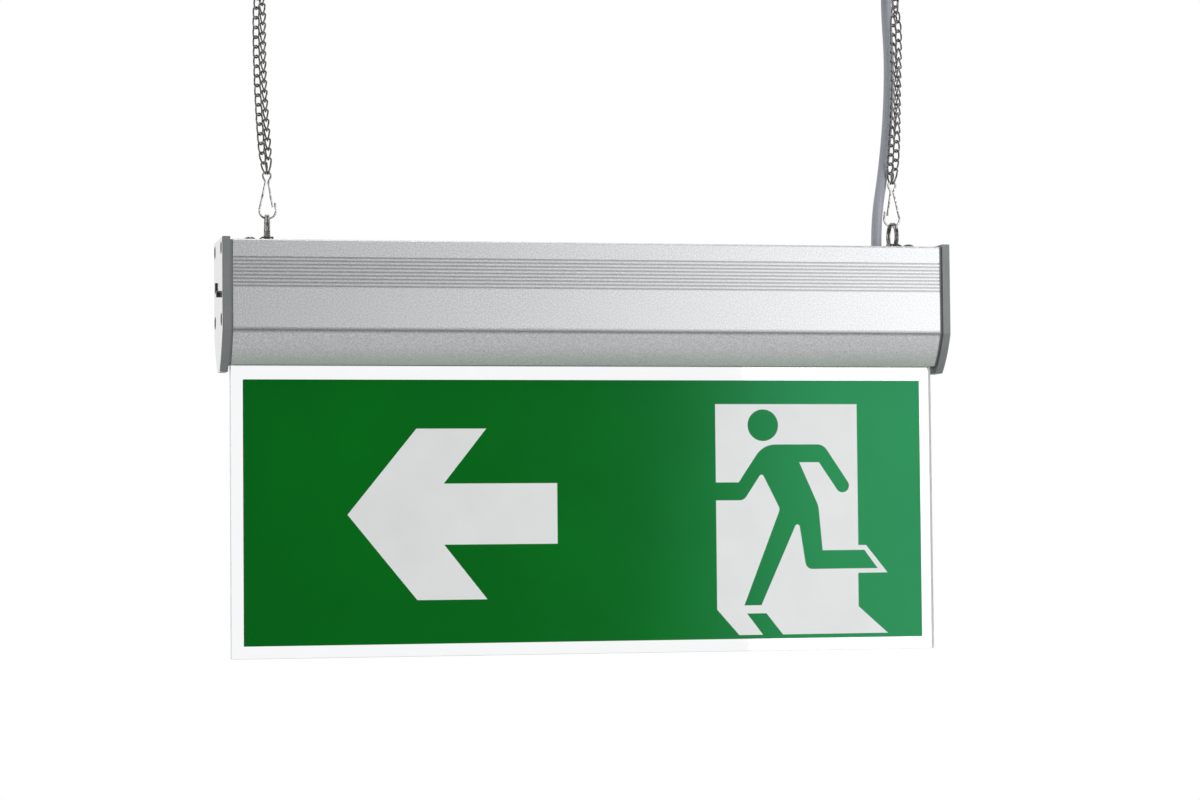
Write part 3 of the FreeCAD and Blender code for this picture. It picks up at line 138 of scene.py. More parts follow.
# Colours of the small fittings, then of what the housing holds.
TURNED_STEEL = (0.10, 0.10, 0.10)
PRESSED_STEEL = (0.14, 0.135, 0.13)
ZINC = (0.40, 0.40, 0.39)
WHITE_PLASTIC = (0.74, 0.74, 0.72)
BLACK_PLASTIC = (0.012, 0.012, 0.014)
GROMMET_GREY = (0.42, 0.42, 0.46)
LENS_RED = (0.05, 0.012, 0.012)
GALVANISED_STEEL = (0.48, 0.50, 0.52)
GASKET_BLACK = (0.02, 0.02, 0.022)
BOARD_GREEN = (0.006, 0.11, 0.035)
BOARD_TRACKS = (0.02, 0.20, 0.07)
STRIP_WHITE = (0.72, 0.72, 0.70)
STRIP_TRACKS = (0.60, 0.60, 0.58)
CAN_GREY = (0.30, 0.31, 0.36)
CELL_WRAP = (0.02, 0.16, 0.30)
CELL_BAND = (0.62, 0.64, 0.66)
CORE_DARK = (0.05, 0.05, 0.055)
CORE_LIGHT = (0.16, 0.15, 0.14)
LED_WHITE = (0.80, 0.80, 0.76)
LED_PHOSPHOR = (0.85, 0.62, 0.10)


class SignSizes(bpy.types.PropertyGroup):
    """Sizes of the pieces that are modelled here."""

    print_depth: FloatProperty(
        name="Print depth", description="How far the white print stands off the film",
        default=0.03 * MM, unit="LENGTH", precision=5)
    arc_steps: IntProperty(
        name="Arc steps", description="Steps in a round corner of the print, and in a quarter of the head",
        default=10, min=2)
    link_wire: FloatProperty(
        name="Link wire radius", description="Radius of the wire of the chain links",
        default=0.45 * MM, unit="LENGTH", precision=5)
    link_width: FloatProperty(
        name="Link width", description="Width of a chain link over its wire",
        default=3.8 * MM, unit="LENGTH", precision=5)
    link_pitch: FloatProperty(
        name="Link pitch", description="From one chain link to the next",
        default=4.65 * MM, unit="LENGTH", precision=5)
    link_slack: FloatProperty(
        name="Link slack", description="Play between two chain links",
        default=0.2 * MM, unit="LENGTH", precision=5)
    link_twist: FloatProperty(
        name="Link twist", description="Twist of a chain link from end to end",
        default=math.radians(90), subtype="ANGLE")
    link_count: IntProperty(
        name="Links", description="Length of a chain in link pitches", default=20, min=4)
    strand_gap: FloatProperty(
        name="Strand gap", description="Half the space between the two strands of a chain",
        default=1.75 * MM, unit="LENGTH", precision=5)
    strand_depth: FloatProperty(
        name="Strand depth", description="How far a strand stands before or behind",
        default=1.2 * MM, unit="LENGTH", precision=5)
    strand_step: FloatProperty(
        name="Strand step", description="How fast the strands part from one link to the next",
        default=0.55 * MM, unit="LENGTH", precision=5)
    chain_bow: FloatProperty(
        name="Chain bow", description="How far the middle of a chain hangs outward",
        default=1.3 * MM, unit="LENGTH", precision=5)
    eye_offset: FloatProperty(
        name="Eye offset", description="Half the space between the strands in the hook's eye",
        default=0.6 * MM, unit="LENGTH", precision=5)
    ring_radius: FloatProperty(
        name="Split ring radius", description="Radius of the split ring to its wire's centre",
        default=5.95 * MM, unit="LENGTH", precision=5)
    ring_wire: FloatProperty(
        name="Split ring wire radius", description="Radius of the split ring's wire",
        default=0.55 * MM, unit="LENGTH", precision=5)
    ring_pitch: FloatProperty(
        name="Split ring pitch", description="From one turn of the split ring to the next",
        default=1.15 * MM, unit="LENGTH", precision=5)
    ring_turns: FloatProperty(
        name="Split ring turns", description="Turns of wire in the split ring", default=1.97)
    ring_start: FloatProperty(
        name="Split ring start", description="Where the split ring's wire begins",
        default=math.radians(20), subtype="ANGLE")
    ring_turn: FloatProperty(
        name="Left ring turn", description="How far the left split ring has turned on its strap",
        default=math.radians(-6), subtype="ANGLE")
    cable_radius: FloatProperty(
        name="Cable radius", description="Radius of the supply cable",
        default=2.6 * MM, unit="LENGTH", precision=5)


class SignColours(bpy.types.PropertyGroup):
    """Colours of the finishes."""

    aluminium: FloatVectorProperty(
        name="Housing", description="Colour of the blasted aluminium housing",
        default=(0.60, 0.61, 0.62), subtype="COLOR", min=0, max=1)
    # Painted green reflection and shade: the colour that the housing turns towards near its lower edge.
    painted_underside_reflection: FloatVectorProperty(
        name="Underside", description="Tint near the housing's lower edge",
        default=(0.34, 0.46, 0.34), subtype="COLOR", min=0, max=1)
    cap: FloatVectorProperty(
        name="End caps", description="Colour of the moulded end caps",
        default=(0.175, 0.188, 0.188), subtype="COLOR", min=0, max=1)
    film: FloatVectorProperty(
        name="Legend film", description="Green of the printed film",
        default=(0.0, 0.118, 0.0), subtype="COLOR", min=0, max=1)
    white_print: FloatVectorProperty(
        name="Print", description="White of the arrow and the doorway",
        default=(0.72, 0.735, 0.735), subtype="COLOR", min=0, max=1)
    panel: FloatVectorProperty(
        name="Panel", description="Tint of the clear panel",
        default=(0.985, 0.99, 1.0), subtype="COLOR", min=0, max=1)
    sawn_edge: FloatVectorProperty(
        name="Panel edge", description="Colour of the panel's frosted edges",
        default=(0.78, 0.88, 0.84), subtype="COLOR", min=0, max=1)
    links: FloatVectorProperty(
        name="Chain wire", description="Colour of the plated wire of the chains",
        default=(0.20, 0.195, 0.19), subtype="COLOR", min=0, max=1)
    hooks: FloatVectorProperty(
        name="Hook wire", description="Colour of the bright wire of the snap hooks",
        default=(0.50, 0.49, 0.48), subtype="COLOR", min=0, max=1)
    rings: FloatVectorProperty(
        name="Ring wire", description="Colour of the plated wire of the rings",
        default=(0.27, 0.265, 0.25), subtype="COLOR", min=0, max=1)
    sheath: FloatVectorProperty(
        name="Cable sheath", description="Colour of the supply cable",
        default=(0.30, 0.31, 0.35), subtype="COLOR", min=0, max=1)


class SignStudio(bpy.types.PropertyGroup):
    """Camera, lamps and floor."""

    camera_place: FloatVectorProperty(
        name="Camera place", description="Where the camera stands",
        default=(-0.3412, -1.5503, -0.3013), subtype="TRANSLATION")
    camera_turn: FloatVectorProperty(
        name="Camera turn", description="How the camera is turned",
        default=tuple(math.radians(turn) for turn in (92.58, 0.53, -12.6)), subtype="EULER")
    lens: FloatProperty(
        name="Lens", description="Focal length of the camera in millimetres", default=97.7)
    front_power: FloatProperty(
        name="Front lamp", description="Power of the lamp at the front right", default=11.0, unit="POWER")
    left_power: FloatProperty(
        name="Left lamp", description="Power of the lamp beside the left end cap", default=2.5, unit="POWER")
    top_power: FloatProperty(
        name="Top lamp", description="Power of the lamp above", default=5.0, unit="POWER")
    sky: FloatProperty(
        name="Sky", description="Strength of the even light from all round", default=0.52)
    dim_front: FloatProperty(
        name="Dim front", description="How bright gloss shows the room in front", default=0.30)


# Finishes

# Most of what a noise gives lies between these.
NOISE_LOW = 0.3
NOISE_HIGH = 0.7
# The colour sockets of a Mix node, which share their names with others.
MIX_FIRST = 6
MIX_SECOND = 7
MIX_RESULT = 2
WHITE = (1.0, 1.0, 1.0, 1.0)


class ShaderTree:
    """A tree of shader nodes in the making."""

    def __init__(self, tree):
        self.tree = tree

    def find(self, kind):
        """The node of a kind that the tree starts with."""
        return next(node for node in self.tree.nodes if node.type == kind)

    def add(self, kind, **settings):
        node = self.tree.nodes.new(kind)
        for key, value in settings.items():
            setattr(node, key, value)
        return node

    def link(self, source, socket):
        self.tree.links.new(source, socket)

    def feed(self, socket, value):
        """Links a socket to the node that its value comes from, or sets it."""
        if isinstance(value, bpy.types.NodeSocket):
            self.link(value, socket)
        else:
            socket.default_value = value

    def math(self, operation, *values):
        node = self.add("ShaderNodeMath", operation=operation)
        for socket, value in zip(node.inputs, values):
            self.feed(socket, value)
        return node.outputs["Value"]

    def spread(self, source, low, high, to_low=0.0, to_high=1.0):
        """Source between low and high, spread over another range."""
        node = self.add("ShaderNodeMapRange")
        node.inputs["From Min"].default_value = low
        node.inputs["From Max"].default_value = high
        node.inputs["To Min"].default_value = to_low
        node.inputs["To Max"].default_value = to_high
        self.link(source, node.inputs["Value"])
        return node.outputs["Result"]

    def spread_noise(self, noise, to_low=0.0, to_high=1.0):
        return self.spread(noise, NOISE_LOW, NOISE_HIGH, to_low, to_high)


class Finish(ShaderTree):
    """A material in the making: its nodes, its surface shader and its object coordinates."""

    def __init__(self, name):
        self.material = bpy.data.materials.new(name)
        self.material.use_nodes = True
        super().__init__(self.material.node_tree)
        self.shader = self.find("BSDF_PRINCIPLED")
        self.place = self.add("ShaderNodeTexCoord").outputs["Object"]

    def axis(self, name):
        """One of the object coordinates."""
        split = self.add("ShaderNodeSeparateXYZ")
        self.link(self.place, split.inputs["Vector"])
        return split.outputs[name]

    def noise(self, scale, detail=3.0, roughness=0.55, stretch=(1, 1, 1)):
        """Fine cloudy variation; scale counts grains in a metre."""
        mapping = self.add("ShaderNodeMapping")
        mapping.inputs["Scale"].default_value = stretch
        self.link(self.place, mapping.inputs["Vector"])
        noise = self.add("ShaderNodeTexNoise")
        noise.inputs["Scale"].default_value = scale
        noise.inputs["Detail"].default_value = detail
        noise.inputs["Roughness"].default_value = roughness
        self.link(mapping.outputs["Vector"], noise.inputs["Vector"])
        return noise.outputs["Fac"]

    def bands(self, direction, scale):
        """Soft bands that follow each other along an axis."""
        wave = self.add("ShaderNodeTexWave", bands_direction=direction)
        wave.inputs["Scale"].default_value = scale
        self.link(self.place, wave.inputs["Vector"])
        return wave.outputs["Fac"]

    def mix(self, factor, first, second):
        """A colour between two, each a colour or another mix."""
        node = self.add("ShaderNodeMix", data_type="RGBA")
        self.link(factor, node.inputs["Factor"])
        for socket, value in ((node.inputs[MIX_FIRST], first), (node.inputs[MIX_SECOND], second)):
            self.feed(socket, value if isinstance(value, bpy.types.NodeSocket) else (*value, 1.0))
        return node.outputs[MIX_RESULT]

    def mottle(self, noise, colour, darkest, lightest):
        """A colour that wanders with the noise between two shades of itself."""
        return self.mix(self.spread_noise(noise), shade(colour, darkest), shade(colour, lightest))

    def bump(self, height, strength, depth):
        node = self.add("ShaderNodeBump")
        node.inputs["Strength"].default_value = strength
        node.inputs["Distance"].default_value = depth
        self.link(height, node.inputs["Height"])
        self.link(node.outputs["Normal"], self.shader.inputs["Normal"])

    def surface(self, colour, roughness, **constants):
        """Colour and roughness may come from nodes; the other values are constants."""
        self.feed(self.shader.inputs["Base Color"], colour)
        self.feed(self.shader.inputs["Roughness"], roughness)
        for name, value in constants.items():
            self.shader.inputs[name.replace("_", " ")].default_value = value
        return self.material


def shade(colour, factor):
    return tuple(min(1.0, part * factor) for part in colour)


def painted_groove_shade(finish, drop):
    """Painted shade: deep in the fine grooves, faint on the lands between them, and nothing elsewhere."""
    start = GROOVE_DROP - GROOVE_WIDTH / 2
    end = GROOVE_DROP + GROOVE_COUNT * GROOVE_PITCH - GROOVE_WIDTH
    along = finish.math("MODULO", finish.math("SUBTRACT", drop, start), GROOVE_PITCH)
    below, above = finish.math("GREATER_THAN", drop, start), finish.math("LESS_THAN", drop, end)
    band = finish.math("MULTIPLY", below, above)
    groove = finish.math("MULTIPLY", band, finish.math("LESS_THAN", along, GROOVE_WIDTH))
    return finish.math("ADD", finish.math("MULTIPLY", groove, 0.44), finish.math("MULTIPLY", band, 0.08))


def blasted_aluminium(colours):
    """Matt anodised extrusion: a fine blasted grain, a painted dark reflection along the line where the face
    turns under, painted shade in the grooves, and painted green reflection and shade towards the lower edge.
    """
    finish = Finish("blasted_aluminium")
    metal = colours.aluminium
    grain = finish.noise(1500.0, detail=2.0, roughness=0.6)
    cloud = finish.noise(28.0, detail=2.0, stretch=(0.35, 1, 1))
    tone = finish.mix(finish.spread(grain, 0.32, 0.68), shade(metal, 0.74), shade(metal, 1.22))
    tone = finish.mix(finish.spread_noise(cloud, 0.0, 0.25), tone, shade(metal, 1.08))
    drop = finish.math("SUBTRACT", HOUSING_TOP, finish.axis("Z"))
    # Painted dark reflection: a soft dark line, its edge jittered by the grain, along where the face turns
    # under.
    painted_kink_distance = finish.math("ABSOLUTE", finish.math("SUBTRACT", drop, KINK_DROP))
    painted_kink_distance = finish.math("ADD", painted_kink_distance, finish.math("MULTIPLY", grain, 1.2 * MM))
    tone = finish.mix(finish.spread(painted_kink_distance, 0.8 * MM, 2.2 * MM, 0.85, 0.0), tone, shade(metal, 0.30))
    # Painted green reflection and shade: darker and greener towards the housing's lower edge.
    tone = finish.mix(finish.spread(drop, KINK_DROP + 8 * MM, FOOT_DROP, 0.0, 0.45), tone, colours.painted_underside_reflection)
    # Painted shade in the fine grooves and on the lands between them.
    tone = finish.mix(painted_groove_shade(finish, drop), tone, shade(metal, 0.35))
    finish.bump(grain, strength=0.22, depth=0.12 * MM)
    return finish.surface(tone, finish.spread_noise(grain, 0.40, 0.54), Metallic=0.9)


def moulded(name, colour, roughness=(0.42, 0.56), bump=0.12, contrast=0.07):
    """Moulded plastic or rubber with a fine spark-eroded grain."""
    finish = Finish(name)
    grain = finish.noise(900.0, detail=2.0)
    tone = finish.mottle(finish.noise(60.0), colour, 1 - contrast, 1 + contrast)
    finish.bump(grain, strength=bump, depth=0.1 * MM)
    return finish.surface(tone, finish.spread_noise(grain, *roughness))


def moulded_cap(colours):
    """Moulded grey plastic with a matt rim and a polished outer face."""
    finish = Finish("cap_plastic")
    grain = finish.noise(1100.0, detail=2.0)
    tone = finish.mottle(finish.noise(60.0), colours.cap, 0.93, 1.07)
    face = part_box("end_cap_right")[1].x - CAP_FACE_DEPTH
    outer = finish.math("GREATER_THAN", finish.math("ABSOLUTE", finish.axis("X")), face)
    finish.link(outer, finish.shader.inputs["Coat Weight"])
    finish.bump(grain, strength=0.03, depth=0.1 * MM)
    matt = finish.spread_noise(grain, 0.40, 0.52)
    roughness = finish.math("SUBTRACT", matt, finish.math("MULTIPLY", outer, 0.28))
    return finish.surface(tone, roughness, Coat_Roughness=0.08)


def legend_green(colours):
    """Translucent green print under a gloss laminate."""
    finish = Finish("film_green")
    fine = finish.noise(420.0)
    tone = finish.mottle(finish.noise(14.0, detail=2.0), colours.film, 0.92, 1.10)
    finish.bump(fine, strength=0.03, depth=0.05 * MM)
    return finish.surface(tone, finish.spread_noise(fine, 0.15, 0.19), Specular_IOR_Level=0.62,
                          Specular_Tint=(0.18, 1.0, 0.60, 1.0))


def legend_white(colours):
    """White print, faintly mottled."""
    finish = Finish("legend_white")
    fine = finish.noise(700.0)
    tone = finish.mottle(finish.noise(40.0), colours.white_print, 0.97, 1.02)
    finish.bump(fine, strength=0.03, depth=0.05 * MM)
    return finish.surface(tone, finish.spread_noise(fine, 0.34, 0.42))


def clear_panel(colours):
    """Polished acrylic with the faintest haze; its sawn ends and foot are frosted and catch the light."""
    finish = Finish("clear_panel")
    low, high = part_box("acrylic_panel")
    haze = finish.noise(90.0)
    saw = finish.noise(900.0, detail=2.0, stretch=(1, 0.1, 1))
    end = finish.math("GREATER_THAN", finish.math("ABSOLUTE", finish.axis("X")), high.x - SAWN_EDGE_DEPTH)
    foot = finish.math("LESS_THAN", finish.axis("Z"), low.z + SAWN_EDGE_DEPTH)
    sawn = finish.math("MAXIMUM", end, foot)
    polished = finish.mottle(haze, colours.panel, 0.985, 1.0)
    frosted = finish.mottle(saw, colours.sawn_edge, 0.92, 1.0)
    finish.bump(finish.math("MULTIPLY", saw, sawn), strength=0.15, depth=0.05 * MM)
    finish.link(finish.spread(sawn, 0.0, 1.0, 1.0, 0.15), finish.shader.inputs["Transmission Weight"])
    roughness = finish.math("ADD", finish.spread_noise(haze, 0.01, 0.04), finish.math("MULTIPLY", sawn, 0.3))
    return finish.surface(finish.mix(sawn, polished, frosted), roughness, IOR=1.49)


def plated(name, colour):
    """Plated wire with draw marks and dull patches."""
    finish = Finish(name)
    patch = finish.noise(700.0, detail=4.0)
    draw = finish.noise(2600.0, detail=1.0)
    tone = finish.mix(finish.spread(patch, 0.35, 0.65), shade(colour, 0.30), shade(colour, 1.45))
    finish.bump(draw, strength=0.10, depth=0.05 * MM)
    return finish.surface(tone, finish.spread_noise(patch, 0.16, 0.34), Metallic=1.0)


def brushed(name, colour, along=(1, 12, 12), roughness=(0.26, 0.42)):
    """Sheet or turned steel with marks along one way."""
    finish = Finish(name)
    marks = finish.noise(420.0, detail=4.0, stretch=along)
    tone = finish.mottle(marks, colour, 0.82, 1.12)
    finish.bump(marks, strength=0.10, depth=0.05 * MM)
    return finish.surface(tone, finish.spread_noise(marks, *roughness), Metallic=1.0)


def cable_sheath(colours):
    """Soft pale sheath: smooth skin with shallow ripples from the conductors inside."""
    finish = Finish("sheath_skin")
    skin = finish.noise(1200.0, detail=2.0)
    ripple = finish.noise(110.0, detail=1.0, stretch=(1, 1, 0.35))
    tone = finish.mottle(ripple, colours.sheath, 0.93, 1.07)
    height = finish.math("ADD", finish.math("MULTIPLY", skin, 0.25), ripple)
    finish.bump(height, strength=0.18, depth=0.3 * MM)
    return finish.surface(tone, finish.spread_noise(skin, 0.34, 0.46), Specular_IOR_Level=0.45)


def circuit_board(name, ground, copper):
    """Solder resist over tracks that run in straight lines."""
    finish = Finish(name)
    tracks = finish.add("ShaderNodeTexBrick")
    tracks.inputs["Scale"].default_value = 210.0
    tracks.inputs["Mortar Size"].default_value = 0.09
    finish.link(finish.place, tracks.inputs["Vector"])
    tone = finish.mix(tracks.outputs["Fac"], ground, copper)
    finish.bump(tracks.outputs["Fac"], strength=0.2, depth=0.05 * MM)
    return finish.surface(tone, finish.spread_noise(finish.noise(300.0), 0.25, 0.4))


def wrapped_cells():
    """Shrink-wrapped cells with pale bands."""
    finish = Finish("wrapped_cells")
    tone = finish.mix(finish.spread(finish.bands("X", 6.2), 0.86, 0.90), CELL_WRAP, CELL_BAND)
    return finish.surface(tone, finish.spread_noise(finish.noise(500.0), 0.22, 0.36))


def laminated_core():
    """Stacked laminations of a transformer, lacquered."""
    finish = Finish("laminated_core")
    sheets = finish.bands("Z", 480.0)
    tone = finish.mix(sheets, CORE_DARK, CORE_LIGHT)
    finish.bump(sheets, strength=0.4, depth=0.1 * MM)
    return finish.surface(tone, finish.spread_noise(finish.noise(300.0), 0.35, 0.6), Metallic=0.5)


def phosphor_leds():
    """White mouldings round a yellow phosphor."""
    finish = Finish("phosphor_leds")
    tone = finish.mix(finish.bands("Y", 110.0), LED_WHITE, LED_PHOSPHOR)
    return finish.surface(tone, finish.spread_noise(finish.noise(800.0), 0.2, 0.4))


def dress_nodes(colours):
    """Gives every CAD node its finish, also those that a modelled piece stands for."""
    links = plated("chain_wire", colours.links)
    hooks = plated("hook_wire", colours.hooks)
    rings = plated("ring_wire", colours.rings)
    cap = moulded_cap(colours)
    film = legend_green(colours)
    screw = brushed("turned_steel", TURNED_STEEL, along=(6, 6, 1), roughness=(0.20, 0.36))
    strap = brushed("pressed_strap", PRESSED_STEEL, along=(1, 9, 1))
    zinc = brushed("zinc_plate", ZINC, along=(2, 2, 2), roughness=(0.24, 0.38))
    sheet = brushed("galvanised_sheet", GALVANISED_STEEL, along=(2, 3, 3), roughness=(0.34, 0.52))
    can = brushed("drawn_can", CAN_GREY, along=(1, 1, 9))
    white = moulded("white_moulding", WHITE_PLASTIC, contrast=0.03)
    black = moulded("black_plastic", BLACK_PLASTIC, roughness=(0.22, 0.34))
    gasket = moulded("soft_gasket", GASKET_BLACK, roughness=(0.6, 0.75))
    grommet = moulded("soft_grommet", GROMMET_GREY, roughness=(0.5, 0.65))
    lens = moulded("tinted_lens", LENS_RED, roughness=(0.10, 0.18), bump=0.02)
    board = circuit_board("charger_circuit", BOARD_GREEN, BOARD_TRACKS)
    strip = circuit_board("light_strip", STRIP_WHITE, STRIP_TRACKS)
    sheath = cable_sheath(colours)
    finishes = {
        "housing_extrusion": blasted_aluminium(colours), "end_cap_left": cap, "end_cap_right": cap,
        "acrylic_panel": clear_panel(colours), "legend_film_front": film, "legend_film_rear": film,
        "panel_pins": screw, "panel_gasket_front": gasket, "panel_gasket_rear": gasket,
        "led_board": strip, "leds": phosphor_leds(), "gear_tray": sheet, "tray_screws": screw,
        "charger_board": board, "board_spacers": white, "transformer": laminated_core(),
        "capacitors": can, "battery_holder": black, "battery_cells": wrapped_cells(),
        "terminal_block": white, "cable_grommet": grommet, "cable_tail": sheath,
        "test_button": black, "test_switch": black, "button_board": board, "indicator_lens": lens,
        "end_cap_screws": screw, "strap_screws": screw, "eye_strap_left": strap, "eye_strap_right": strap,
        "snap_hook_left": hooks, "snap_hook_right": hooks, "shackle_ring_left": rings,
        "shackle_ring_right": rings, "ceiling_hook_left": zinc, "ceiling_hook_right": zinc,
        "ceiling_outlet": white, "split_ring_left": rings, "split_ring_right": rings,
        "chain_left_near_strand": links, "chain_left_far_strand": links,
        "chain_right_near_strand": links, "chain_right_far_strand": links, "supply_cable": sheath,
    }
    for node, material in finishes.items():
        for holder in NODES[node].material_slots:
            holder.material = material


# Modelling helpers

# Corners of a print that are nearer to each other than this are merged.
WELD = 0.001 * MM
# Vertices of a link that are nearer to its middle than this stay there when it is drawn out.
LINK_MIDDLE = 1e-7


def clear_selection():
    bpy.ops.object.select_all(action="DESELECT")


def select_only(piece):
    clear_selection()
    piece.select_set(True)
    bpy.context.view_layer.objects.active = piece


def add_object(name, data):
    """An object in the scene that holds a curve, a lamp or a camera."""
    added = bpy.data.objects.new(name, data)
    bpy.context.collection.objects.link(added)
    return added


def active_piece(name, material):
    """Names the piece that was just made and gives it its finish."""
    piece = bpy.context.active_object
    piece.name = name
    piece.data.name = name
    piece.data.materials.clear()
    piece.data.materials.append(material)
    return piece


def settle(piece, matrix=None):
    """Moves the place of a piece into its mesh."""
    piece.data.transform((matrix or Matrix()) @ piece.matrix_basis)
    piece.matrix_basis = Matrix()
    piece.data.update()


def apply_modifiers(piece):
    select_only(piece)
    for modifier in list(piece.modifiers):
        bpy.ops.object.modifier_apply(modifier=modifier.name)


def centre_of(node):
    low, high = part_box(node)
    return (low + high) / 2


def rounded(corners, steps):
    """The corners of an outline, each replaced by an arc where it has a radius."""
    places = []
    count = len(corners)
    for index, (across, up, radius) in enumerate(corners):
        corner = Vector((across, up))
        if not radius:
            places.append(corner)
            continue
        before = (Vector(corners[index - 1][:2]) - corner).normalized()
        after = (Vector(corners[(index + 1) % count][:2]) - corner).normalized()
        half = before.angle(after) / 2
        centre = corner + (before + after).normalized() * radius / math.sin(half)
        start = corner + before * radius / math.tan(half) - centre
        sweep = start.angle_signed(corner + after * radius / math.tan(half) - centre)
        for step in range(steps + 1):
            turned = start.copy()
            turned.rotate(Matrix.Rotation(-sweep * step / steps, 2))
            places.append(centre + turned)
    return places


def flat_print(name, outlines, depth, material):
    """A thin plate with the given outlines, one inside another making a hole, flat on the ground."""
    sheet = bpy.data.curves.new(name, "CURVE")
    sheet.dimensions = "2D"
    sheet.fill_mode = "BOTH"
    sheet.extrude = depth / 2
    for outline in outlines:
        spline = sheet.splines.new("POLY")
        spline.points.add(len(outline) - 1)
        for point, place in zip(spline.points, outline):
            point.co = (place.x * MM, place.y * MM, 0.0, 1.0)
        spline.use_cyclic_u = True
    select_only(add_object(name, sheet))
    bpy.ops.object.convert(target="MESH")
    bpy.ops.object.mode_set(mode="EDIT")
    bpy.ops.mesh.select_all(action="SELECT")
    bpy.ops.mesh.remove_doubles(threshold=WELD)
    bpy.ops.mesh.normals_make_consistent(inside=False)
    bpy.ops.object.mode_set(mode="OBJECT")
    return active_piece(name, material)


class SIGN_OT_finishes(bpy.types.Operator):
    """Give every part of the sign its finish"""

    bl_idname = "exit_sign.finishes"
    bl_label = "Finishes"

    def execute(self, context):
        dress_nodes(context.scene.sign_colours)
        legend_white(context.scene.sign_colours)
        return {"FINISHED"}


class SIGN_OT_legend(bpy.types.Operator):
    """Print the arrow and the doorway with its running figure on both films"""

    bl_idname = "exit_sign.legend"
    bl_label = "Legend"

    def execute(self, context):
        sizes = context.scene.sign_sizes
        white = bpy.data.materials["legend_white"]
        across, up, radius = HEAD
        count = 4 * sizes.arc_steps
        turns = [2 * math.pi * step / count for step in range(count)]
        head = [Vector((across + radius * math.cos(turn), up + radius * math.sin(turn))) for turn in turns]
        doorway = rounded(DOORWAY + FIGURE, sizes.arc_steps)
        prints = {"arrow": [rounded(ARROW, sizes.arc_steps)], "doorway": [doorway, head]}
        upright = Matrix.Rotation(math.radians(90), 4, "X")
        faces = {
            "front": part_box("legend_film_front")[0].y - sizes.print_depth / 2,
            "rear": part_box("legend_film_rear")[1].y + sizes.print_depth / 2,
        }
        for side, face in faces.items():
            place = Matrix.Translation((FILM_MIDDLE.x, face, FILM_MIDDLE.z))
            for title, outlines in prints.items():
                piece = flat_print(f"{title}_print_{side}", outlines, sizes.print_depth, white)
                settle(piece, place @ upright)
                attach(piece, "lamp")
        return {"FINISHED"}


def twisted_link(sizes, pitch, material):
    """One curb link, upright about the origin: a ring of wire drawn out long and twisted."""
    bow = sizes.link_width / 2 - sizes.link_wire
    half = (pitch + sizes.link_slack) / 2 + sizes.link_wire
    clear_selection()
    bpy.ops.mesh.primitive_torus_add(
        major_radius=bow, minor_radius=sizes.link_wire, major_segments=LINK_SEGMENTS,
        minor_segments=LINK_SIDES, rotation=(math.radians(90), 0, 0))
    link = active_piece("curb_link", material)
    bpy.ops.object.transform_apply(location=False, rotation=True, scale=False)
    for way in (-1, 1):
        for vertex in link.data.vertices:
            vertex.select = vertex.co.z * way > LINK_MIDDLE
        for part in (*link.data.edges, *link.data.polygons):
            part.select = False
        bpy.ops.object.mode_set(mode="EDIT")
        bpy.ops.mesh.select_mode(type="VERT")
        bpy.ops.transform.translate(value=(0, 0, way * (half - bow)))
        bpy.ops.object.mode_set(mode="OBJECT")
    twist = link.modifiers.new("Twist", "SIMPLE_DEFORM")
    twist.deform_method = "TWIST"
    twist.deform_axis = "Z"
    twist.angle = sizes.link_twist
    apply_modifiers(link)
    bpy.ops.object.shade_smooth()
    return link


class SIGN_OT_chains(bpy.types.Operator):
    """Hang two strands of twisted links between each snap hook and its ceiling ring"""

    bl_idname = "exit_sign.chains"
    bl_label = "Chains"

    def execute(self, context):
        sizes = context.scene.sign_sizes
        wire = bpy.data.materials["chain_wire"]
        links = {span: twisted_link(sizes, span * sizes.link_pitch, wire) for span in (1.0, END_SPAN)}
        for (word, strand), (hand, facing) in STRANDS.items():
            self.hang(sizes, links, word, strand, hand, math.radians(facing))
        for link in links.values():
            bpy.data.objects.remove(link)
        return {"FINISHED"}

    def hang(self, sizes, links, word, strand, hand, facing):
        """Copies the links, which are kept by the pitches that they span, into one strand of a chain."""
        node = f"chain_{word}_{strand}_strand"
        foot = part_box(node)[0].z + 2 * sizes.link_wire + sizes.link_slack / 2
        ring = centre_of(f"split_ring_{word}")
        top = centre_of(f"shackle_ring_{word}")
        count = sizes.link_count
        spans = [1.0] * count
        if strand == "far":
            spans = [END_SPAN] + [1.0] * (count - 3) + [END_SPAN]

        def meeting(step):
            """Where two links meet, so many pitches above the strand's foot."""
            apart = min(sizes.strand_gap, sizes.eye_offset + step * sizes.strand_step,
                        (count - step) * sizes.strand_step)
            away = min(sizes.strand_depth, step * sizes.strand_step)
            bow = math.copysign(sizes.chain_bow, ring.x) * math.sin(math.pi * step / count)
            middle = ring.x + (top.x - ring.x) * step / count + bow
            return Vector((middle + hand * apart, hand * away, foot + step * sizes.link_pitch))

        clear_selection()
        square = -sizes.link_twist / 2
        upward = Vector((0, 0, 1))
        step = 0.0
        copies = []
        for index, span in enumerate(spans):
            start, end = meeting(step), meeting(step + span)
            step += span
            turn = square + (facing - square) * math.sin(math.pi * index / (len(spans) - 1))
            turned = upward.rotation_difference(end - start) @ Quaternion(upward, turn)
            copy = add_object("curb_link", links[span].data.copy())
            copy.data.transform(Matrix.LocRotScale((start + end) / 2, turned, None))
            copy.select_set(True)
            copies.append(copy)
        bpy.context.view_layer.objects.active = copies[0]
        bpy.ops.object.join()
        piece = active_piece(f"links_{word}_{strand}", bpy.data.materials["chain_wire"])
        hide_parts(node)
        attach(piece, f"{word}_hanger")


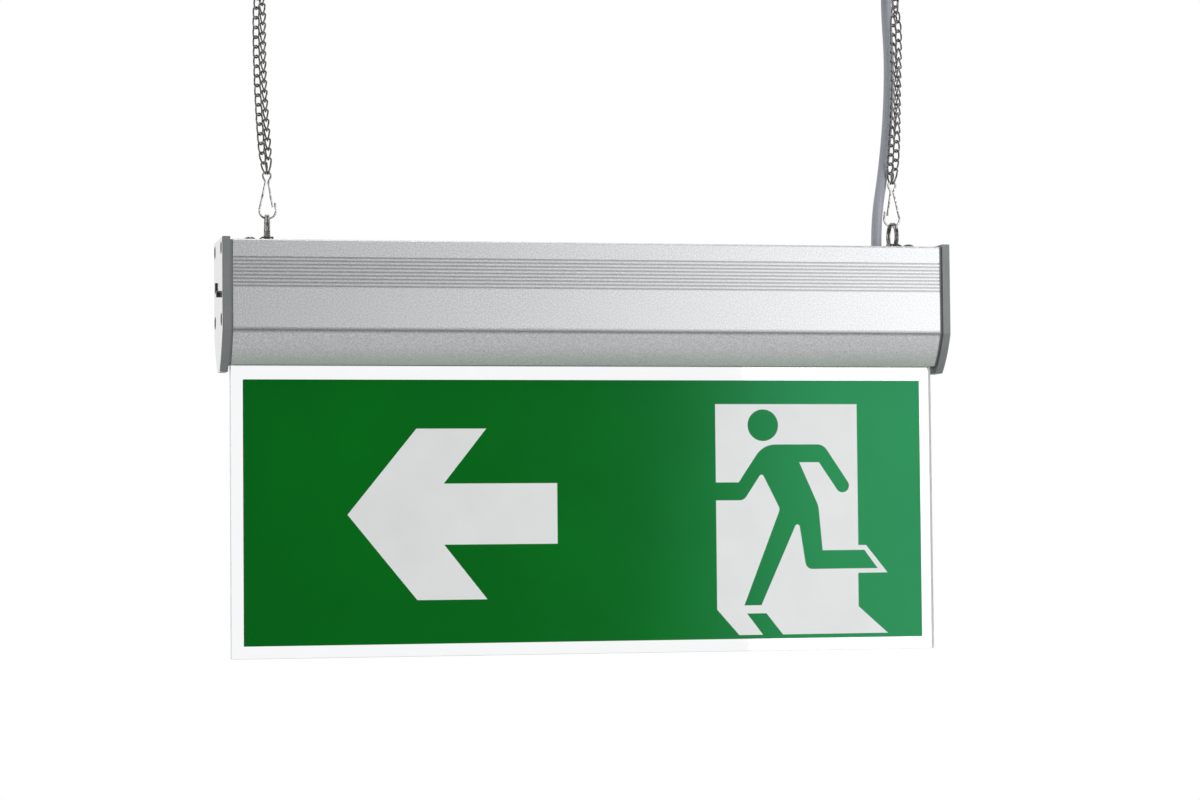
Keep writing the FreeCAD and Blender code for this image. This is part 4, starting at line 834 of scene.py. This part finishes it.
class SIGN_OT_split_rings(bpy.types.Operator):
    """Wind the two split rings that the housing hangs in"""

    bl_idname = "exit_sign.split_rings"
    bl_label = "Split rings"

    def execute(self, context):
        sizes = context.scene.sign_sizes
        rise = sizes.ring_pitch * sizes.ring_turns
        for word, turn in (("left", sizes.ring_turn), ("right", 0.0)):
            clear_selection()
            bpy.ops.mesh.primitive_circle_add(
                vertices=RING_SIDES, radius=sizes.ring_wire, fill_type="NOTHING",
                location=(sizes.ring_radius, 0, 0), rotation=(math.radians(90), 0, 0))
            ring = active_piece(f"wound_ring_{word}", bpy.data.materials["ring_wire"])
            bpy.ops.object.transform_apply()
            screw = ring.modifiers.new("Wind", "SCREW")
            screw.angle = 2 * math.pi * sizes.ring_turns
            screw.screw_offset = rise
            screw.steps = screw.render_steps = RING_STEPS
            screw.use_smooth_shade = True
            apply_modifiers(ring)
            bpy.ops.object.mode_set(mode="EDIT")
            bpy.ops.mesh.select_all(action="SELECT")
            bpy.ops.mesh.fill_holes(sides=0)
            bpy.ops.mesh.select_all(action="SELECT")
            bpy.ops.mesh.normals_make_consistent(inside=False)
            bpy.ops.object.mode_set(mode="OBJECT")
            bpy.ops.object.shade_smooth_by_angle(angle=math.radians(40))
            centre = centre_of(f"split_ring_{word}")
            hung = Matrix.Translation((centre.x, 0, centre.z))
            turned = Matrix.Rotation(turn, 4, "Z")
            across = Matrix.Rotation(math.radians(90), 4, "Y")
            begun = Matrix.Rotation(sizes.ring_start, 4, "Z")
            centred = Matrix.Translation((0, 0, -rise / 2))
            settle(ring, hung @ turned @ across @ begun @ centred)
            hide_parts(f"split_ring_{word}")
            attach(ring, f"{word}_ring")
        return {"FINISHED"}


class SIGN_OT_cable(bpy.types.Operator):
    """Run the supply cable from the gland up to the ceiling outlet"""

    bl_idname = "exit_sign.cable"
    bl_label = "Supply cable"

    def execute(self, context):
        sizes = context.scene.sign_sizes
        base = Vector((GLAND.x, 0, HOUSING_TOP))
        gland = GLAND + Vector((0, 0, HOUSING_TOP))
        across, back, _ = CABLE_ROUTE[-1]
        nose = Vector((GLAND.x + across * MM, back * MM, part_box("supply_cable")[1].z))
        route = [gland] + [base + Vector(place) * MM for place in CABLE_ROUTE] + [nose]
        line = bpy.data.curves.new("cable_line", "CURVE")
        line.dimensions = "3D"
        line.resolution_u = CABLE_STEPS
        spline = line.splines.new("NURBS")
        spline.points.add(len(route) - 1)
        for point, place in zip(spline.points, route):
            point.co = (*place, 1.0)
        spline.order_u = 3
        spline.use_endpoint_u = True
        cable = add_object("cable_skin", line)
        bare = bpy.data.meshes.new_from_object(cable)
        bpy.data.meshes.remove(bare)
        line.bevel_depth = sizes.cable_radius
        line.bevel_resolution = CABLE_BEVEL
        line.use_fill_caps = True
        select_only(cable)
        bpy.ops.object.convert(target="MESH")
        cable = active_piece("cable_skin", bpy.data.materials["sheath_skin"])
        bpy.ops.object.shade_smooth_by_angle(angle=math.radians(50))
        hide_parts("supply_cable")
        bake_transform(cable)
        return {"FINISHED"}


class SIGN_OT_stage(bpy.types.Operator):
    """Set up the floor, the lamps, the sky and the camera"""

    bl_idname = "exit_sign.stage"
    bl_label = "Stage"

    def execute(self, context):
        studio = context.scene.sign_studio
        self.floor()
        self.sky(context.scene, studio.sky, studio.dim_front)
        aim = Vector((0, 0, (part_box("acrylic_panel")[0].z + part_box("ceiling_outlet")[1].z) / 2))
        for name, (place, size, power) in LAMPS.items():
            self.lamp(name, place, aim, size, getattr(studio, power))
        self.camera(context.scene, studio)
        context.scene.view_settings.view_transform = "Standard"
        return {"FINISHED"}

    def floor(self):
        clear_selection()
        bpy.ops.mesh.primitive_circle_add(
            vertices=FLOOR_SIDES, radius=FLOOR_RADIUS, fill_type="NGON", location=(0, 0, FLOOR_HEIGHT))
        pale = Finish("pale_floor")
        tone = pale.mix(pale.spread_noise(pale.noise(3.0)), (0.76, 0.76, 0.76), (0.80, 0.80, 0.80))
        reach = pale.add("ShaderNodeVectorMath", operation="LENGTH")
        pale.link(pale.place, reach.inputs[0])
        seen = pale.add("ShaderNodeLightPath").outputs["Is Camera Ray"]
        fade = pale.spread(reach.outputs["Value"], FADE_START, FADE_END, FADE_GLOW, 1.0)
        pale.link(pale.math("MULTIPLY", seen, fade), pale.shader.inputs["Emission Strength"])
        floor = active_piece("floor", pale.surface(tone, 0.8, Emission_Color=WHITE))
        settle(floor)

    def sky(self, scene, strength, dim_front):
        """White to the camera and through glass; gloss shows white behind and a dimmer room in front."""
        world = bpy.data.worlds.new("white_studio")
        world.use_nodes = True
        sky = ShaderTree(world.node_tree)
        back = sky.find("BACKGROUND")
        back.inputs["Color"].default_value = WHITE
        rays = sky.add("ShaderNodeLightPath").outputs
        way = sky.add("ShaderNodeSeparateXYZ")
        sky.link(sky.add("ShaderNodeTexCoord").outputs["Generated"], way.inputs["Vector"])
        room = sky.spread(way.outputs["Y"], DIM_END, WHITE_START, dim_front, 1.0)
        seen = sky.math("MAXIMUM", rays["Is Camera Ray"], rays["Is Transmission Ray"])
        even = sky.spread(seen, 0.0, 1.0, strength, 1.0)
        mix = sky.add("ShaderNodeMix")
        sky.link(rays["Is Glossy Ray"], mix.inputs["Factor"])
        sky.link(even, mix.inputs["A"])
        sky.link(room, mix.inputs["B"])
        sky.link(mix.outputs["Result"], back.inputs["Strength"])
        scene.world = world

    def lamp(self, name, place, aim, size, power):
        light = bpy.data.lights.new(name, "AREA")
        light.size = size
        light.energy = power
        lamp = add_object(name, light)
        lamp.location = place
        lamp.rotation_euler = (aim - Vector(place)).to_track_quat("-Z", "Y").to_euler()

    def camera(self, scene, studio):
        lens = bpy.data.cameras.new("camera")
        lens.lens = studio.lens
        camera = add_object("camera", lens)
        camera.location = studio.camera_place
        camera.rotation_euler = studio.camera_turn
        scene.camera = camera


class SIGN_PT_panel(bpy.types.Panel):
    """Lists the steps that dress the sign"""

    bl_idname = "SIGN_PT_panel"
    bl_label = "Exit sign"
    bl_space_type = "VIEW_3D"
    bl_region_type = "UI"
    bl_category = "Exit sign"

    def draw(self, context):
        for step in STEPS:
            self.layout.operator(step.bl_idname)
        for group in (context.scene.sign_sizes, context.scene.sign_colours, context.scene.sign_studio):
            box = self.layout.box()
            for name in group.__annotations__:
                box.prop(group, name)


STEPS = (SIGN_OT_finishes, SIGN_OT_legend, SIGN_OT_chains, SIGN_OT_split_rings, SIGN_OT_cable, SIGN_OT_stage)
CLASSES = (SignSizes, SignColours, SignStudio) + STEPS + (SIGN_PT_panel,)


def register():
    for item in CLASSES:
        bpy.utils.register_class(item)
    bpy.types.Scene.sign_sizes = PointerProperty(type=SignSizes)
    bpy.types.Scene.sign_colours = PointerProperty(type=SignColours)
    bpy.types.Scene.sign_studio = PointerProperty(type=SignStudio)


def unregister():
    for name in ("sign_sizes", "sign_colours", "sign_studio"):
        delattr(bpy.types.Scene, name)
    for item in reversed(CLASSES):
        bpy.utils.unregister_class(item)


def main():
    register()
    bpy.ops.exit_sign.finishes()
    bpy.ops.exit_sign.legend()
    bpy.ops.exit_sign.chains()
    bpy.ops.exit_sign.split_rings()
    bpy.ops.exit_sign.cable()
    bpy.ops.exit_sign.stage()


if __name__ == "__main__":
    main()
